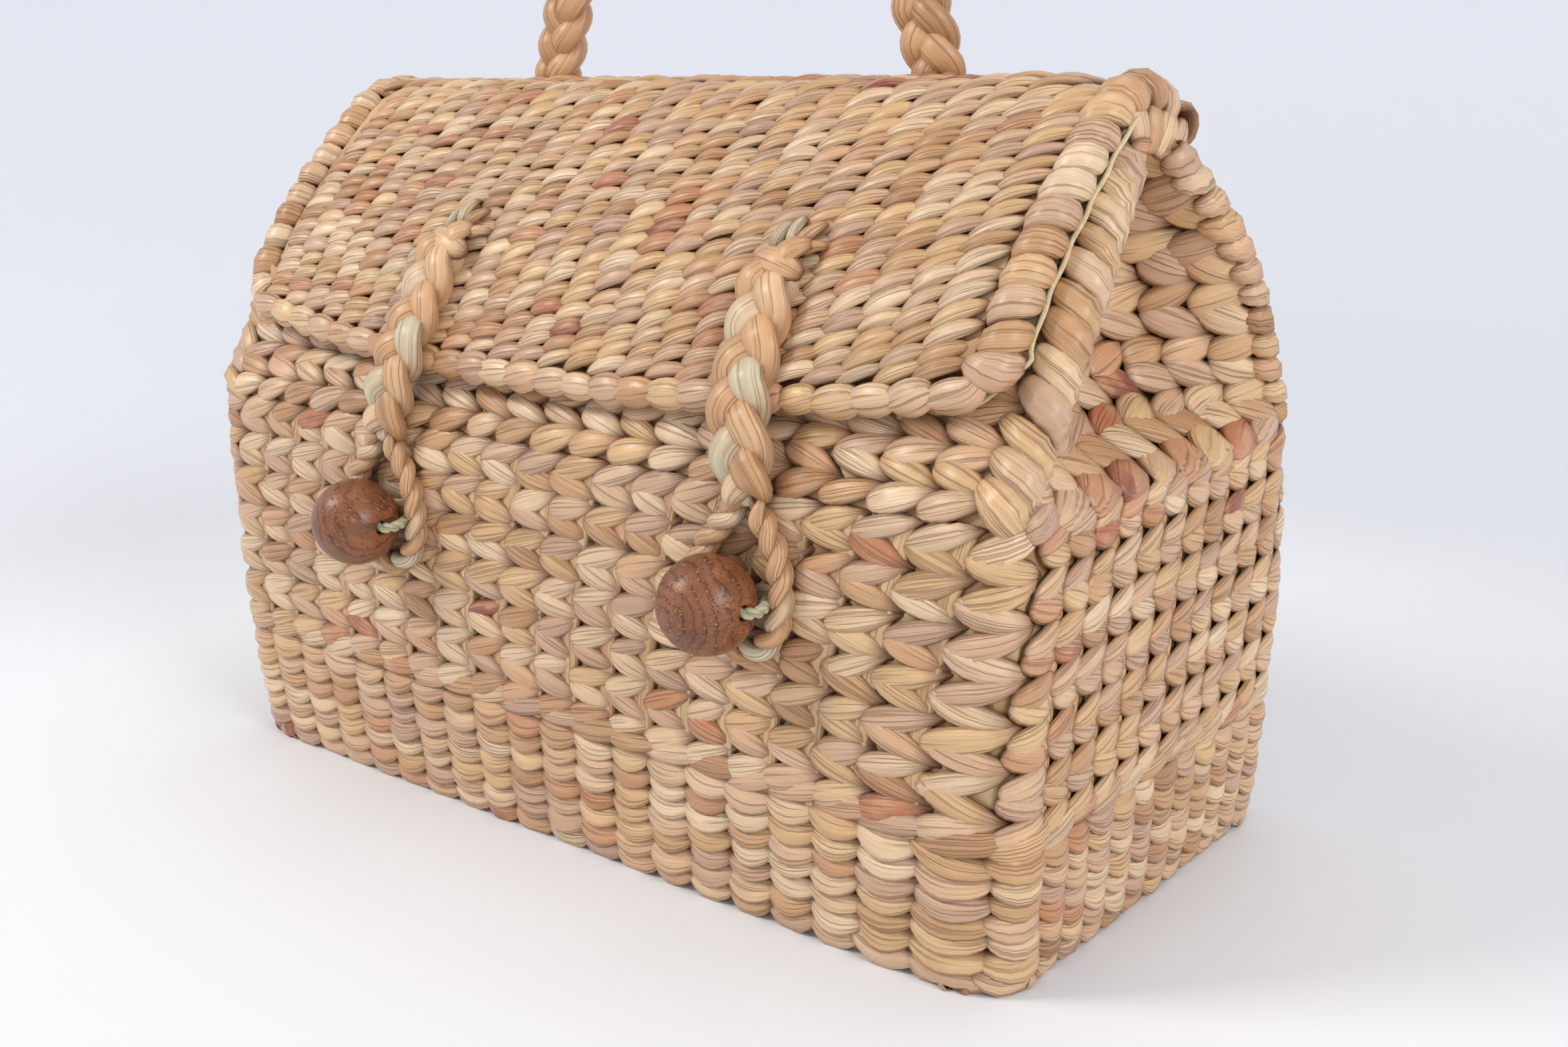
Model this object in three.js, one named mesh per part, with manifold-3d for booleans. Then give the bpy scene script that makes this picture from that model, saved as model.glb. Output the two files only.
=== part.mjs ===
// A lidded basket bag of twisted straw, in millimetres, with +Z up.
// The front faces -Y, and the bag stands on the floor at z = 0, centred on x = 0, y = 0.
import * as THREE from 'three';
import { mergeVertices } from 'three/addons/utils/BufferGeometryUtils.js';
import Module from 'manifold-3d';

const wasm = await Module();
wasm.setup();

// Body: a box below the shoulder, and above it two panels that lean together like a roof.
const baseWidth = 305;
const baseDepth = 145;
const bellyWidth = 313;
const bellyDepth = 152;
const shoulderHeight = 121.5;
const bodyHeight = 203.5;
const wall = 6;
const baseCorner = 14;
const shoulderCorner = 10;
const hemRadius = 4;
const mouthWidth = 12;
const mouthLip = 7;
const gussetFold = 36;
const rimThickness = 8;
const rimRadius = 3.5;
const rimStep = 2;

// Lid: a thick woven sheet that is sewn along the ridge and falls over the front.
const lidHalfWidth = 146;
const lidThickness = 8;
const lidRise = 5.4;
const lidSag = 12;
const lidEdgeHeight = 137.5;
const liningThickness = 1;
const liningInset = 1.2;
const seat = 0.3;

// Handle: one braid, bent into an arch behind the ridge.
const handleSpan = 154;
const handleRise = 100;
const handleWidth = 17;
const handleThickness = 12.5;
const handleBack = 11;

// Closure: two braided straps, each ending in a loop round a turned bead.
const strapWidth = 15;
const strapThickness = 9;
const strapTopHeight = 176.5;
const knotSize = 17;
const loopCord = 5.6;
const loopHalfWidth = 14.9;
const loopDrop = 15;
const loopClearance = 0.4;
const loopRise = 27;
const beadDiameter = 26;
const beadHole = 4;
const beadCord = 2.4;
const beadGap = 1.8;
const leftBeadX = -65;
const leftBeadHeight = 93;
const rightBeadX = 76.5;
const rightBeadHeight = 94;

// How far each strap stands to the right of its bead, in strap widths, at the knot, at the lid's
// lower edge and where it parts into the loop.
const straps = [
  { side: 'left', beadX: leftBeadX, beadHeight: leftBeadHeight, top: 0.93, edge: 0.73, split: 0.2 },
  { side: 'right', beadX: rightBeadX, beadHeight: rightBeadHeight, top: -0.13, edge: 0, split: 0.37 },
];

const STRAW = { color: 0xd9b88a, roughness: 0.55, metalness: 0 };
const BRAID = { color: 0xd2ab79, roughness: 0.6, metalness: 0 };
const CLOTH = { color: 0xe6dbc6, roughness: 0.9, metalness: 0 };
const TEAK = { color: 0x8a4f2c, roughness: 0.45, metalness: 0 };
const THREAD = { color: 0xd8d5ad, roughness: 0.7, metalness: 0 };

// How far the wall has swelled from the base size to the belly size, up the straight part.
const wallRows = [
  { up: 0.0, swell: 0.0, corner: 0.0 },
  { up: 0.15, swell: 0.45, corner: 0.1 },
  { up: 0.4, swell: 0.9, corner: 0.3 },
  { up: 0.7, swell: 1.0, corner: 0.7 },
  { up: 1.0, swell: 0.7, corner: 1.0 },
];

// The roof: depth goes from the shoulder's at 1 to the ridge's at 0. Width is a share of the
// shoulder's half width, and fold a share of the gusset's fold.
const roofRows = [
  { up: 0.0, depth: 1.0, width: 1.0, fold: 0.0 },
  { up: 0.05, depth: 0.976, width: 1.0, fold: 0.2 },
  { up: 0.12, depth: 0.91, width: 1.0, fold: 0.42 },
  { up: 0.26, depth: 0.785, width: 1.003, fold: 0.7 },
  { up: 0.4, depth: 0.68, width: 1.006, fold: 0.86 },
  { up: 0.52, depth: 0.593, width: 1.008, fold: 0.95 },
  { up: 0.64, depth: 0.472, width: 1.004, fold: 1.0 },
  { up: 0.76, depth: 0.33, width: 0.994, fold: 1.0 },
  { up: 0.88, depth: 0.17, width: 0.98, fold: 1.0 },
  { up: 1.0, depth: 0.0, width: 0.965, fold: 1.0 },
];

const lerp = THREE.MathUtils.lerp;
const ridgeHalf = mouthWidth / 2 + mouthLip;
const shoulder = wallSize(1);

// Reads one column of a table at a share, along a smooth curve through its rows.
function column(rows, name, share) {
  let i = 0;
  while (i < rows.length - 2 && share > rows[i + 1].up) i += 1;
  const [a, b] = [rows[i], rows[i + 1]];
  const before = rows[Math.max(i - 1, 0)];
  const after = rows[Math.min(i + 2, rows.length - 1)];
  const gap = b.up - a.up;
  const t = (share - a.up) / gap;
  const riseA = (gap * (b[name] - before[name])) / (b.up - before.up);
  const riseB = (gap * (after[name] - a[name])) / (after.up - a.up);
  const [t2, t3] = [t * t, t * t * t];
  return (2 * t3 - 3 * t2 + 1) * a[name] + (t3 - 2 * t2 + t) * riseA
    + (3 * t2 - 2 * t3) * b[name] + (t3 - t2) * riseB;
}

function wallSize(up) {
  const swell = column(wallRows, 'swell', up);
  return {
    z: up * shoulderHeight,
    halfX: lerp(baseWidth, bellyWidth, swell) / 2,
    halfY: lerp(baseDepth, bellyDepth, swell) / 2,
    corner: lerp(baseCorner, shoulderCorner, column(wallRows, 'corner', up)),
    lip: 0,
    step: 0,
    fold: 0,
    thickX: wall,
    thickY: wall,
  };
}

function roofHalfDepth(up) {
  return lerp(ridgeHalf, shoulder.halfY, column(roofRows, 'depth', up));
}

function roofSize(up) {
  const rise = bodyHeight - shoulderHeight;
  const step = 0.01;
  const low = Math.max(up - step, 0);
  const high = Math.min(up + step, 1);
  const run = (high - low) * rise;
  const lean = (roofHalfDepth(low) - roofHalfDepth(high)) / run;
  const slope = gussetFold * (column(roofRows, 'fold', high) - column(roofRows, 'fold', low)) / run;
  const blend = THREE.MathUtils.smoothstep(up, 0, 0.12);
  return {
    z: shoulderHeight + up * rise,
    halfX: shoulder.halfX * column(roofRows, 'width', up),
    halfY: roofHalfDepth(up),
    corner: lerp(shoulderCorner, rimRadius, blend),
    lip: lerp(0, rimThickness - rimRadius, blend),
    step: rimStep * blend,
    fold: gussetFold * column(roofRows, 'fold', up),
    thickX: wall * Math.hypot(1, slope),
    thickY: Math.min(wall * Math.hypot(1, lean), roofHalfDepth(up) - mouthWidth / 2),
  };
}

// Half of a section, from the middle of the front round the right-hand end to the back.
function halfOutline(size, inner) {
  const thickX = inner ? wall : 0;
  const halfX = size.halfX - thickX - (inner ? size.step : 0);
  const halfY = size.halfY - (inner ? size.thickY : 0);
  const corner = inner ? Math.max(size.corner - wall, 1) : size.corner;
  const lip = inner ? 0 : size.lip;
  const step = inner ? 0 : size.step;
  const foldHalf = size.halfY - size.corner - size.lip;
  const extra = inner ? size.thickX - wall : 0;
  const end = (y) => {
    const share = Math.min(Math.abs(y) / foldHalf, 1);
    return halfX - step - (size.fold + extra) * (1 - share ** 2.4);
  };
  const points = [];
  points.push([(halfX - corner) / 3, -halfY]);
  const turns = 3;
  for (let i = 0; i <= turns; i += 1) {
    const turn = (i / turns) * (Math.PI / 2);
    points.push([halfX - corner * (1 - Math.sin(turn)), -halfY + corner * (1 - Math.cos(turn))]);
  }
  const span = (halfY - corner - lip) * 0.97;
  const steps = 8;
  for (let i = 0; i <= steps; i += 1) {
    const y = span * (2 * i / steps - 1);
    points.push([end(y), y]);
  }
  return points;
}

function ring(size, inner = false) {
  const front = halfOutline(size, inner);
  const mirrored = front.slice(0, 5).map(([x, y]) => [x, -y]).reverse();
  const right = [...front, ...mirrored];
  const left = right.map(([x, y]) => [-x, -y]);
  return [...right, ...left].map(([x, y]) => new THREE.Vector3(x, y, size.z));
}

// A closed skin through rings of the same count. An end is closed by a fan, or by a strip if it bends.
function skin(rings, bends = false) {
  const count = rings[0].length;
  const positions = rings.flat().flatMap((p) => [p.x, p.y, p.z]);
  const index = [];
  for (let r = 0; r < rings.length - 1; r += 1) {
    for (let i = 0; i < count; i += 1) {
      const j = (i + 1) % count;
      const [a, b] = [r * count + i, r * count + j];
      const [c, d] = [a + count, b + count];
      index.push(a, b, d, a, d, c);
    }
  }
  const last = (rings.length - 1) * count;
  for (const [a, b, c] of bends ? stripEnd(count) : fanEnd(count)) {
    index.push(a, c, b);
    index.push(last + a, last + b, last + c);
  }
  const geometry = new THREE.BufferGeometry();
  geometry.setAttribute('position', new THREE.Float32BufferAttribute(positions, 3));
  geometry.setIndex(index);
  return geometry;
}

function fanEnd(count) {
  return Array.from({ length: count - 2 }, (_, i) => [0, i + 1, i + 2]);
}

function stripEnd(count) {
  const faces = [];
  for (let i = 0; i < count / 2 - 1; i += 1) {
    const j = count - 1 - i;
    faces.push([i, i + 1, j - 1], [i, j - 1, j]);
  }
  return faces;
}

function basketBody() {
  const wallSteps = 6;
  const roofSteps = 12;
  const sizes = [];
  for (let i = 1; i <= wallSteps; i += 1) sizes.push(wallSize(i / wallSteps));
  for (let i = 1; i <= roofSteps; i += 1) sizes.push(roofSize(i / roofSteps));
  const foot = { ...wallSize(0) };
  const sole = { ...foot, halfX: foot.halfX - hemRadius, halfY: foot.halfY - hemRadius };
  const hem = { ...foot, z: hemRadius };
  const floor = { ...wallSize(0), z: wall };
  const outer = [sole, hem, ...sizes].map((size) => ring(size));
  const inner = [...sizes].reverse().map((size) => ring(size, true));
  return skin([...outer, ...inner, ring(floor, true)]);
}

// The front slope from the shoulder to the mouth, then an arc over the mouth to the back panel.
function ridgeLine(fromUp) {
  const points = [];
  const slopeSteps = 13;
  for (let i = 0; i <= slopeSteps; i += 1) {
    const up = lerp(fromUp, 1, i / slopeSteps);
    points.push(new THREE.Vector2(-roofHalfDepth(up), roofSize(up).z));
  }
  const arcSteps = 6;
  const half = ridgeHalf;
  const radius = (half * half + lidRise * lidRise) / (2 * lidRise);
  const sweep = Math.asin(half / radius);
  for (let i = 1; i <= arcSteps; i += 1) {
    const angle = lerp(-sweep, sweep, i / arcSteps);
    const y = radius * Math.sin(angle);
    points.push(new THREE.Vector2(y, bodyHeight + lidRise - radius * (1 - Math.cos(angle))));
  }
  return points;
}

// The same line moved outwards by a distance, square to itself at each point.
function offsetLine(points, distance) {
  return points.map((point, i) => {
    const a = points[Math.max(i - 1, 0)];
    const b = points[Math.min(i + 1, points.length - 1)];
    const along = new THREE.Vector2().subVectors(b, a).normalize();
    return new THREE.Vector2(point.x - along.y * distance, point.y + along.x * distance);
  });
}

// Lower edge of the lid: lowest in the middle, a little higher at each corner.
function lidLineAt(x, distance) {
  const bow = lidSag * Math.abs(x / lidHalfWidth) ** 2.2;
  const fromUp = (lidEdgeHeight + bow - shoulderHeight) / (bodyHeight - shoulderHeight);
  return offsetLine(ridgeLine(fromUp), distance);
}

// A sheet over the ridge, between two distances from the body, cut back at its lower edge
// and a little more at its two corners.
function sheet(halfWidth, near, far, cutBack, cornerCut) {
  const columns = 12;
  const rings = [];
  for (let i = 0; i <= columns; i += 1) {
    const x = lerp(-halfWidth, halfWidth, i / columns);
    const cut = cutBack + (i % columns === 0 ? cornerCut : 0);
    const line = (distance) => {
      const points = lidLineAt(x, distance);
      const shift = new THREE.Vector2().subVectors(points[1], points[0]).setLength(cut);
      points[0].add(shift);
      return points.map((p) => new THREE.Vector3(x, p.x, p.y));
    };
    rings.push([...line(near), ...line(far).reverse()]);
  }
  return skin(rings, true);
}

function tube(points, radius, steps, sides = 8) {
  const section = new THREE.Shape();
  for (let i = 0; i < sides; i += 1) {
    const angle = (i / sides) * Math.PI * 2;
    const [x, y] = [radius * Math.cos(angle), radius * Math.sin(angle)];
    if (i === 0) section.moveTo(x, y);
    else section.lineTo(x, y);
  }
  section.closePath();
  const path = new THREE.CatmullRomCurve3(points, false, 'centripetal');
  return new THREE.ExtrudeGeometry(section, { steps, extrudePath: path, bevelEnabled: false });
}

// An oval braid along a path; width lies along the given direction.
function braid(points, width, thickness, steps, across, sides = 10) {
  const path = new THREE.CatmullRomCurve3(points, false, 'centripetal');
  const rings = [];
  for (let i = 0; i <= steps; i += 1) {
    const centre = path.getPointAt(i / steps);
    const along = path.getTangentAt(i / steps);
    const flat = new THREE.Vector3().crossVectors(along, across(along)).normalize();
    const wide = new THREE.Vector3().crossVectors(flat, along).normalize();
    const section = [];
    for (let k = 0; k < sides; k += 1) {
      const angle = (k / sides) * Math.PI * 2;
      const point = centre.clone();
      point.addScaledVector(wide, (width / 2) * Math.cos(angle));
      point.addScaledVector(flat, (thickness / 2) * Math.sin(angle));
      section.push(point);
    }
    rings.push(section);
  }
  return rings;
}

function solid(geometry) {
  const bare = geometry.clone();
  bare.deleteAttribute('normal');
  bare.deleteAttribute('uv');
  const merged = mergeVertices(bare, 1e-4);
  return new wasm.Manifold(new wasm.Mesh({
    numProp: 3,
    vertProperties: new Float32Array(merged.attributes.position.array),
    triVerts: new Uint32Array(merged.index.array),
  }));
}

function geometryOf(manifold) {
  const { vertProperties, triVerts } = manifold.getMesh();
  const geometry = new THREE.BufferGeometry();
  geometry.setAttribute('position', new THREE.BufferAttribute(new Float32Array(vertProperties), 3));
  geometry.setIndex([...triVerts]);
  return geometry;
}

// Rolled edge of the lid: down one side from the ridge, along the lower edge and up again.
function lidBorder() {
  const radius = lidThickness / 2;
  const middle = seat * 2 + liningThickness + radius;
  const inset = lidHalfWidth - radius;
  const side = lidLineAt(inset, middle);
  const right = side.slice(2).map((p) => new THREE.Vector3(inset, p.x, p.y));
  const left = right.map((p) => new THREE.Vector3(-p.x, p.y, p.z));
  const low = [];
  const spans = 12;
  const reach = inset - lidThickness * 0.6;
  for (let i = 0; i <= spans; i += 1) {
    const x = lerp(-reach, reach, i / spans);
    const [edge] = lidLineAt(x, middle);
    low.push(new THREE.Vector3(x, edge.x, edge.y));
  }
  return tube([...left.reverse(), ...low, ...right], radius, 84);
}

function lid() {
  const near = seat * 2 + liningThickness;
  const halfWidth = lidHalfWidth - lidThickness - seat;
  const gap = lidThickness / 2 + seat;
  return sheet(halfWidth, near, near + lidThickness, gap, lidThickness * 0.75);
}

function lidLining() {
  return sheet(lidHalfWidth - liningInset, seat, seat + liningThickness, 0, 0);
}

// Height of the lid's upper face where the handle stands on it.
function lidTop(y) {
  const line = offsetLine(ridgeLine(0.5), seat * 2 + liningThickness + lidThickness);
  for (let i = line.length - 1; i > 0; i -= 1) {
    const [a, b] = [line[i - 1], line[i]];
    if (y >= a.x && y <= b.x) return lerp(a.y, b.y, (y - a.x) / (b.x - a.x));
  }
  const [a, b] = line.slice(-2);
  return a.y + ((y - a.x) * (b.y - a.y)) / (b.x - a.x);
}

// Half of the arch, as shares of its half span and of its rise.
const archRows = [
  { out: 1.0, up: 0.0 },
  { out: 0.92, up: 0.2 },
  { out: 0.82, up: 0.44 },
  { out: 0.68, up: 0.68 },
  { out: 0.44, up: 0.88 },
  { out: 0.2, up: 0.975 },
];

function handle() {
  const foot = lidTop(handleBack) + seat * 1.5;
  const half = archRows.map(({ out, up }) => {
    return new THREE.Vector3(-out * handleSpan / 2, handleBack, foot + up * handleRise);
  });
  const top = new THREE.Vector3(0, handleBack, foot + handleRise);
  const other = half.map((p) => new THREE.Vector3(-p.x, p.y, p.z)).reverse();
  const inPlane = (along) => new THREE.Vector3(along.z, 0, -along.x);
  const rings = braid([...half, top, ...other], handleWidth, handleThickness, 34, inPlane);
  const slope = (lidTop(handleBack + 1) - lidTop(handleBack - 1)) / 2;
  for (const end of [rings[0], rings[rings.length - 1]]) {
    for (const point of end) point.z = foot + slope * (point.y - handleBack);
  }
  return skin(rings);
}

function frontWall(height) {
  return -wallSize(height / shoulderHeight).halfY;
}

// Depth of the bead's middle: it hangs just clear of the front wall.
function beadDepth(height) {
  return frontWall(height) - beadGap - beadDiameter / 2;
}

// Down the lid, off its lower edge and on to where the braid parts into the loop.
function strapPath({ beadX, beadHeight, top, edge, split }) {
  const lift = seat * 2 + liningThickness + lidThickness + seat + strapThickness / 2;
  const line = lidLineAt(0, lift);
  const onLid = line.filter((p) => p.y < strapTopHeight).reverse();
  const low = line[0];
  const parting = beadHeight + loopRise;
  const hang = frontWall(beadHeight) - strapThickness / 2 - loopClearance;
  const points = onLid.map((p) => {
    const share = (p.y - low.y) / (strapTopHeight - low.y);
    return new THREE.Vector3(beadX + lerp(edge, top, share) * strapWidth, p.x, p.y);
  });
  const half = beadX + lerp(edge, split, 0.5) * strapWidth;
  points.push(new THREE.Vector3(half, lerp(low.x, hang, 0.7), (low.y + parting) / 2));
  points.push(new THREE.Vector3(beadX + split * strapWidth, hang, parting - loopCord / 2));
  return points;
}

// The loop lies between the bead and the wall, well behind the bead's middle.
function loopDepth(height) {
  return frontWall(height) - loopCord / 2 - loopClearance;
}

// One side of the loop, as shares of its half width, of its rise and of its drop.
const loopRows = [
  { out: 0.12, rise: 1.0, drop: 0 },
  { out: 0.32, rise: 0.8, drop: 0 },
  { out: 0.78, rise: 0.45, drop: 0 },
  { out: 1.0, rise: 0.05, drop: 0 },
  { out: 0.86, rise: 0, drop: 0.55 },
  { out: 0.45, rise: 0, drop: 0.93 },
  { out: -0.1, rise: 0, drop: 1.0 },
];

function strap(row) {
  const { beadX, beadHeight, top, split } = row;
  const across = () => new THREE.Vector3(1, 0, 0);
  const path = strapPath(row);
  let whole = solid(skin(braid(path, strapWidth, strapThickness, 14, across)));
  const depth = loopDepth(beadHeight);
  for (const hand of [-1, 1]) {
    const points = loopRows.map(({ out, rise, drop }) => new THREE.Vector3(
      beadX + hand * out * loopHalfWidth + split * strapWidth * rise,
      depth,
      beadHeight + rise * loopRise - drop * loopDrop,
    ));
    whole = whole.add(solid(tube(points, loopCord / 2, 16)));
  }
  const knot = new THREE.SphereGeometry(0.5, 12, 8);
  const flat = new THREE.Matrix4().makeScale(knotSize, strapThickness, knotSize);
  const lean = path[1].clone().sub(path[0]).normalize();
  const turn = new THREE.Matrix4().makeRotationX(Math.atan2(lean.y, -lean.z));
  knot.applyMatrix4(flat).applyMatrix4(turn);
  knot.translate(beadX + top * strapWidth, path[0].y, path[0].z);
  return geometryOf(whole.add(solid(knot)));
}

// A turned ball with a hole bored through it from left to right.
function bead({ beadX, beadHeight }) {
  const radius = beadDiameter / 2;
  const bore = beadHole / 2;
  const start = Math.asin(bore / radius);
  const steps = 8;
  const profile = [];
  for (let i = 0; i <= steps; i += 1) {
    const angle = lerp(start, Math.PI - start, i / steps);
    profile.push(new THREE.Vector2(radius * Math.sin(angle), -radius * Math.cos(angle)));
  }
  profile.push(profile[0].clone());
  const ball = new THREE.LatheGeometry(profile, 14);
  ball.rotateZ(-Math.PI / 2);
  ball.translate(beadX, beadDepth(beadHeight), beadHeight);
  return ball;
}

// Route of the bead's cord on one side, out of the wall, round the bead and into its hole:
// distance from the bead's middle in bead radii, and depth as a share of the way to the wall.
const cordRows = [
  { out: 0.69, back: 1.0 },
  { out: 0.7, back: 0.88 },
  { out: 0.77, back: 0.75 },
  { out: 0.885, back: 0.62 },
  { out: 0.975, back: 0.5 },
  { out: 1.075, back: 0.3 },
  { out: 1.11, back: 0.14 },
  { out: 1.05, back: 0.045 },
  { out: 0.9, back: 0.035 },
  { out: 0.5, back: 0.035 },
];

function beadLoop({ beadX, beadHeight }) {
  const middle = beadDepth(beadHeight);
  const reach = frontWall(beadHeight) - seat - middle;
  const right = cordRows.map(({ out, back }) => new THREE.Vector3(
    beadX + out * beadDiameter / 2,
    middle + back * reach,
    beadHeight,
  ));
  const left = right.map((p) => new THREE.Vector3(2 * beadX - p.x, p.y, p.z));
  return tube([...right, ...left.reverse()], beadCord / 2, 34, 6);
}

function piece(name, geometry, finish) {
  const mesh = new THREE.Mesh(geometry, new THREE.MeshStandardMaterial(finish));
  mesh.name = name;
  return mesh;
}

const bag = new THREE.Group();
bag.add(piece('basket_body', basketBody(), STRAW));
bag.add(piece('lid', lid(), STRAW));
bag.add(piece('lid_border', lidBorder(), STRAW));
bag.add(piece('lid_lining', lidLining(), CLOTH));
bag.add(piece('handle', handle(), BRAID));
for (const row of straps) {
  bag.add(piece(`strap_${row.side}`, strap(row), BRAID));
  bag.add(piece(`bead_${row.side}`, bead(row), TEAK));
  bag.add(piece(`bead_cord_${row.side}`, beadLoop(row), THREAD));
}

export default bag;
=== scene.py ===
# %% [markdown]
# # A basket bag of woven water reed
# The real bag is twined by hand from dried reed. Upright stakes stand round the walls, and two
# twisted weavers pass round them, so every stitch we see is one short, plump bend of reed.
# This lesson lays such stitches, one by one, on smooth surfaces that follow the construction
# model of the bag: walls, folded ends, lid, rolled edges, braids, loops and two turned beads.

# %% Load the construction model
import math

import bmesh
import bpy
import numpy as np
from mathutils import Matrix, Vector


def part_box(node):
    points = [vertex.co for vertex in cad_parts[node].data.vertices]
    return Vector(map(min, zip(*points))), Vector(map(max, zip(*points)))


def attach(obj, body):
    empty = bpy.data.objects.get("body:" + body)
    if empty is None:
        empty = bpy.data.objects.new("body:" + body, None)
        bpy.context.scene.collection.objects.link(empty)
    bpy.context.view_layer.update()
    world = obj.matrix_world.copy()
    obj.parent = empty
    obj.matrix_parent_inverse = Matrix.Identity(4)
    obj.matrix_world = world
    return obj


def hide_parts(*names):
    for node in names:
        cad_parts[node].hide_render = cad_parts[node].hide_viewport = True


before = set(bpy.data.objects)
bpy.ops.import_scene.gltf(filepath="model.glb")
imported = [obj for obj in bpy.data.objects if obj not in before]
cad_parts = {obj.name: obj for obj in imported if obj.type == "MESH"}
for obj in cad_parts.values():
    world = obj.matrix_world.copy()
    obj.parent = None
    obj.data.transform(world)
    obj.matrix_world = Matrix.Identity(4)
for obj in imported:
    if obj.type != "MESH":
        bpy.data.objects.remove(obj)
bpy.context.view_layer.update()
MM = 0.001
rng = np.random.default_rng(11)

# %% [markdown]
# ## The bag's measures
# All shaping below is done in millimetres and turned to metres at the very end. The measures
# are the construction model's own, so the reed lies where its solids are. Two short tables say
# how the wall swells and how the roof leans in, and a smooth curve is drawn through each.

# %% Measures and tables
BASE = np.array([305.0, 145.0])
BELLY = np.array([313.0, 152.0])
SHOULDER_Z = 121.5
BODY_Z = 203.5
HEM = 4.0
BASE_CORNER = 14.0
SHOULDER_CORNER = 10.0
RIDGE_HALF = 13.0
GUSSET_FOLD = 36.0
RIM_THICKNESS = 8.0
LID_HALF = 146.0
LID_THICKNESS = 8.0
LID_RISE = 5.4
LID_SAG = 12.0
LID_EDGE_Z = 137.5
SEAT = 0.3
LINING = 1.0

WALL = {
    "up": [0.0, 0.15, 0.4, 0.7, 1.0],
    "swell": [0.0, 0.45, 0.9, 1.0, 0.7],
    "corner": [0.0, 0.1, 0.3, 0.7, 1.0],
}
ROOF = {
    "up": [0.0, 0.05, 0.12, 0.26, 0.4, 0.52, 0.64, 0.76, 0.88, 1.0],
    "depth": [1.0, 0.976, 0.91, 0.785, 0.68, 0.593, 0.472, 0.33, 0.17, 0.0],
    "width": [1.0, 1.0, 1.0, 1.003, 1.006, 1.008, 1.004, 0.994, 0.98, 0.965],
    "fold": [0.0, 0.2, 0.42, 0.7, 0.86, 0.95, 1.0, 1.0, 1.0, 1.0],
}


def column(table, name, share):
    """Reads a column of a table at a share, along a smooth curve through its rows."""
    up, value = np.array(table["up"]), np.array(table[name])
    before, after = np.r_[0, np.arange(len(up) - 1)], np.r_[np.arange(1, len(up)), len(up) - 1]
    slope = (value[after] - value[before]) / (up[after] - up[before])
    share = np.clip(share, 0.0, 1.0)
    i = np.clip(np.searchsorted(up, share, side="right") - 1, 0, len(up) - 2)
    gap = up[i + 1] - up[i]
    t = (share - up[i]) / gap
    rise = (2 * t**3 - 3 * t**2 + 1) * value[i] + (3 * t**2 - 2 * t**3) * value[i + 1]
    return rise + gap * ((t**3 - 2 * t**2 + t) * slope[i] + (t**3 - t**2) * slope[i + 1])


def mix(a, b, t):
    return a + (b - a) * t


SHOULDER = mix(BASE, BELLY, WALL["swell"][-1]) / 2
print("half size at the shoulder", SHOULDER, "mm")

# %% [markdown]
# ## The wall as a sheet of paper
# A weaver thinks of a basket wall as one long strip: so far round, so far up. `wall(u, v)` turns
# such a place into a point of the rounded box. `u` runs round it from the left end of the front,
# and `v` runs up it, starting where the rounded hem touches the floor. Every other face of the
# bag gets a function of the same kind, and the stitches can then be laid on any of them.

# %% The wall
RING_CORE = SHOULDER - SHOULDER_CORNER
TURN = SHOULDER_CORNER * math.pi / 2
RING = np.array([2 * RING_CORE[0], TURN, 2 * RING_CORE[1], TURN] * 2)
RING_STARTS = np.r_[0.0, np.cumsum(RING)]
HEM_ARC = HEM * math.pi / 2
CURL_DROP = 0.45
CURL_IN = 0.9


def wall_v(z):
    """How far up the strip a height above the hem is."""
    return z - HEM + HEM_ARC


def wall(u, v):
    """A point of the rounded box; past the shoulder the strip curls in, to tuck stitches under."""
    bend = np.clip(v / HEM, 0.0, math.pi / 2)
    z = np.where(v > HEM_ARC, v - HEM_ARC + HEM, HEM * (1 - np.cos(bend)))
    inset = HEM * (1 - np.sin(bend)) + np.maximum(-v, 0)
    over = np.maximum(z - SHOULDER_Z, 0)
    z = z - CURL_DROP * over
    inset = inset + CURL_IN * over
    up = np.clip(z / SHOULDER_Z, 0, 1)
    swell = column(WALL, "swell", up)
    corner = mix(BASE_CORNER, SHOULDER_CORNER, column(WALL, "corner", up))
    core_x = mix(BASE[0], BELLY[0], swell) / 2 - corner
    core_y = mix(BASE[1], BELLY[1], swell) / 2 - corner
    s = np.mod(u, RING_STARTS[-1])
    part = np.clip(np.searchsorted(RING_STARTS, s, side="right") - 1, 0, len(RING) - 1)
    t = (s - RING_STARTS[part]) / RING[part]
    side, turning = part // 2, part % 2 == 1
    facing = (side - 1 + np.where(turning, t, 0)) * math.pi / 2
    along = np.where(turning, 1.0, t)
    sign_x, sign_y = np.array([-1, 1, 1, -1]), np.array([-1, -1, 1, 1])
    x = core_x * mix(sign_x[side], sign_x[(side + 1) % 4], along)
    y = core_y * mix(sign_y[side], sign_y[(side + 1) % 4], along)
    reach = corner - inset
    return np.stack([x + reach * np.cos(facing), y + reach * np.sin(facing), z], -1)


print("once round the wall is", round(RING_STARTS[-1]), "mm")

# %% [markdown]
# ## The roof panels
# Above the shoulder the front and back walls lean together like a roof. `v` now runs up the
# slope in real millimetres, so a row of stitches is as tall on the lean as on the wall below.

# %% Roof panels
ROOF_UPS = np.linspace(0, 1, 201)
ROOF_Y = mix(RIDGE_HALF, SHOULDER[1], column(ROOF, "depth", ROOF_UPS))
ROOF_Z = mix(SHOULDER_Z, BODY_Z, ROOF_UPS)
ROOF_V = np.r_[0, np.cumsum(np.hypot(np.diff(ROOF_Y), np.diff(ROOF_Z)))]


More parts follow.
